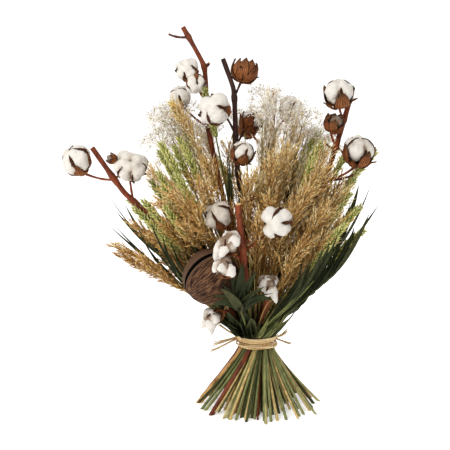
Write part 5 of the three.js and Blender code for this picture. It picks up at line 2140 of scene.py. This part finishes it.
# ---- The studio ----
@dataclass(frozen=True)
class Studio:
    """A pale floor, soft lamps and the camera, which looks a little down at the front of the bunch."""

    target: Point = (-48, 0, 279)
    distance: float = 2000.0
    elevation: float = 11.0
    lens: float = 106.7

    def build(self) -> None:
        """Makes the floor, the lamps, the sky and the camera."""
        edge = 45.0
        corners = [(-edge, -edge, 0), (edge, -edge, 0), (edge, edge, 0), (-edge, edge, 0)]
        mesh = bpy.data.meshes.new("floor")
        mesh.from_pydata(corners, [], [(0, 1, 2, 3)])
        mesh.materials.append(FLOOR.material())
        floor = bpy.data.objects.new("floor", mesh)
        bpy.context.scene.collection.objects.link(floor)
        self.lamp("key", (-1200, -1500, 1800), 1100, 30)
        self.lamp("rim", (300, 1700, 1500), 1200, 8)
        world = bpy.data.worlds.new("studio_sky")
        bpy.context.scene.world = world
        world.use_nodes = True
        sky = world.node_tree.nodes["Background"]
        sky.inputs["Color"].default_value = (1, 1, 1, 1)
        sky.inputs["Strength"].default_value = 0.7
        bpy.context.scene.view_settings.view_transform = "Standard"
        bpy.context.scene.view_settings.look = "Medium High Contrast"
        self.camera()

    def lamp(self, name: str, at: Point, size: float, power: float) -> None:
        """A square soft lamp that shines on the middle of the bunch.

        Args:
            name: Its name.
            at: Where it stands, in millimetres.
            size: The length of its side.
            power: Its power in watts.
        """
        light = bpy.data.lights.new(name, "AREA")
        light.size, light.energy = size / 1000, power
        lamp = bpy.data.objects.new(name, light)
        bpy.context.scene.collection.objects.link(lamp)
        self.point_at(lamp, at)

    def point_at(self, thing: bpy.types.Object, at: Point) -> None:
        """Puts a lamp or camera somewhere, with its back to that side and its face to the target.

        Args:
            thing: The lamp or the camera.
            at: Where it stands.
        """
        place = Vector(at) / 1000
        way = Vector(self.target) / 1000 - place
        thing.location = place
        thing.rotation_euler = way.to_track_quat("-Z", "Y").to_euler()

    def camera(self) -> None:
        """The camera, at its distance and elevation from the target."""
        rise = math.radians(self.elevation)
        x, y, z = self.target
        made = bpy.data.cameras.new("camera")
        made.lens, made.sensor_width, made.clip_end = self.lens, 36.0, 200.0
        camera = bpy.data.objects.new("camera", made)
        bpy.context.scene.collection.objects.link(camera)
        self.point_at(camera, (x, y - self.distance * math.cos(rise), z + self.distance * math.sin(rise)))
        bpy.context.scene.camera = camera


# ---- Putting it together ----
@dataclass(frozen=True)
class CottonBunch:
    """The whole bunch, built stem by stem into one spiral."""

    def spiral(self) -> Spiral:
        """The spiral, which parts round every boll and the pod."""
        stones = [(boll.at, boll.size) for branch in BRANCHES for boll in branch.bolls]
        return Spiral(stones=(*stones, (POD.at, POD.radius)))

    def build(self) -> None:
        """Gives the stems their places in the tie, and builds them, the fillers and the tie."""
        spiral = self.spiral()
        stems = (*BRANCHES, POD, *EARS, *PLUMES, *UMBELS, *LEAFY_STEMS)
        places = spiral.assign([stem.head for stem in stems])
        for seed, (stem, place) in enumerate(zip(stems, places)):
            stem.build(spiral, place, 100 + seed)
        for seed, stem in enumerate((*MORE_EARS, *MORE_PLUMES, *MORE_UMBELS, *MORE_LEAVES)):
            neck = spiral.neck_of(np.array(stem.tip, float))
            neck *= min(1.0, 0.97 * spiral.neck / math.hypot(*neck))
            stem.build(spiral, neck, 200 + seed)
        FOLDED.build(spiral, 300)
        CROSSING.build(spiral, 303)
        FillerStems().build(spiral, 301)
        RaffiaTie().build(spiral, 302)


def main() -> None:
    """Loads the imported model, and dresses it."""
    logging.basicConfig(level=logging.INFO, format="%(name)s: %(message)s")
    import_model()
    LOG.info("studio")
    Studio().build()
    CottonBunch().build()


if __name__ == "__main__":
    main()
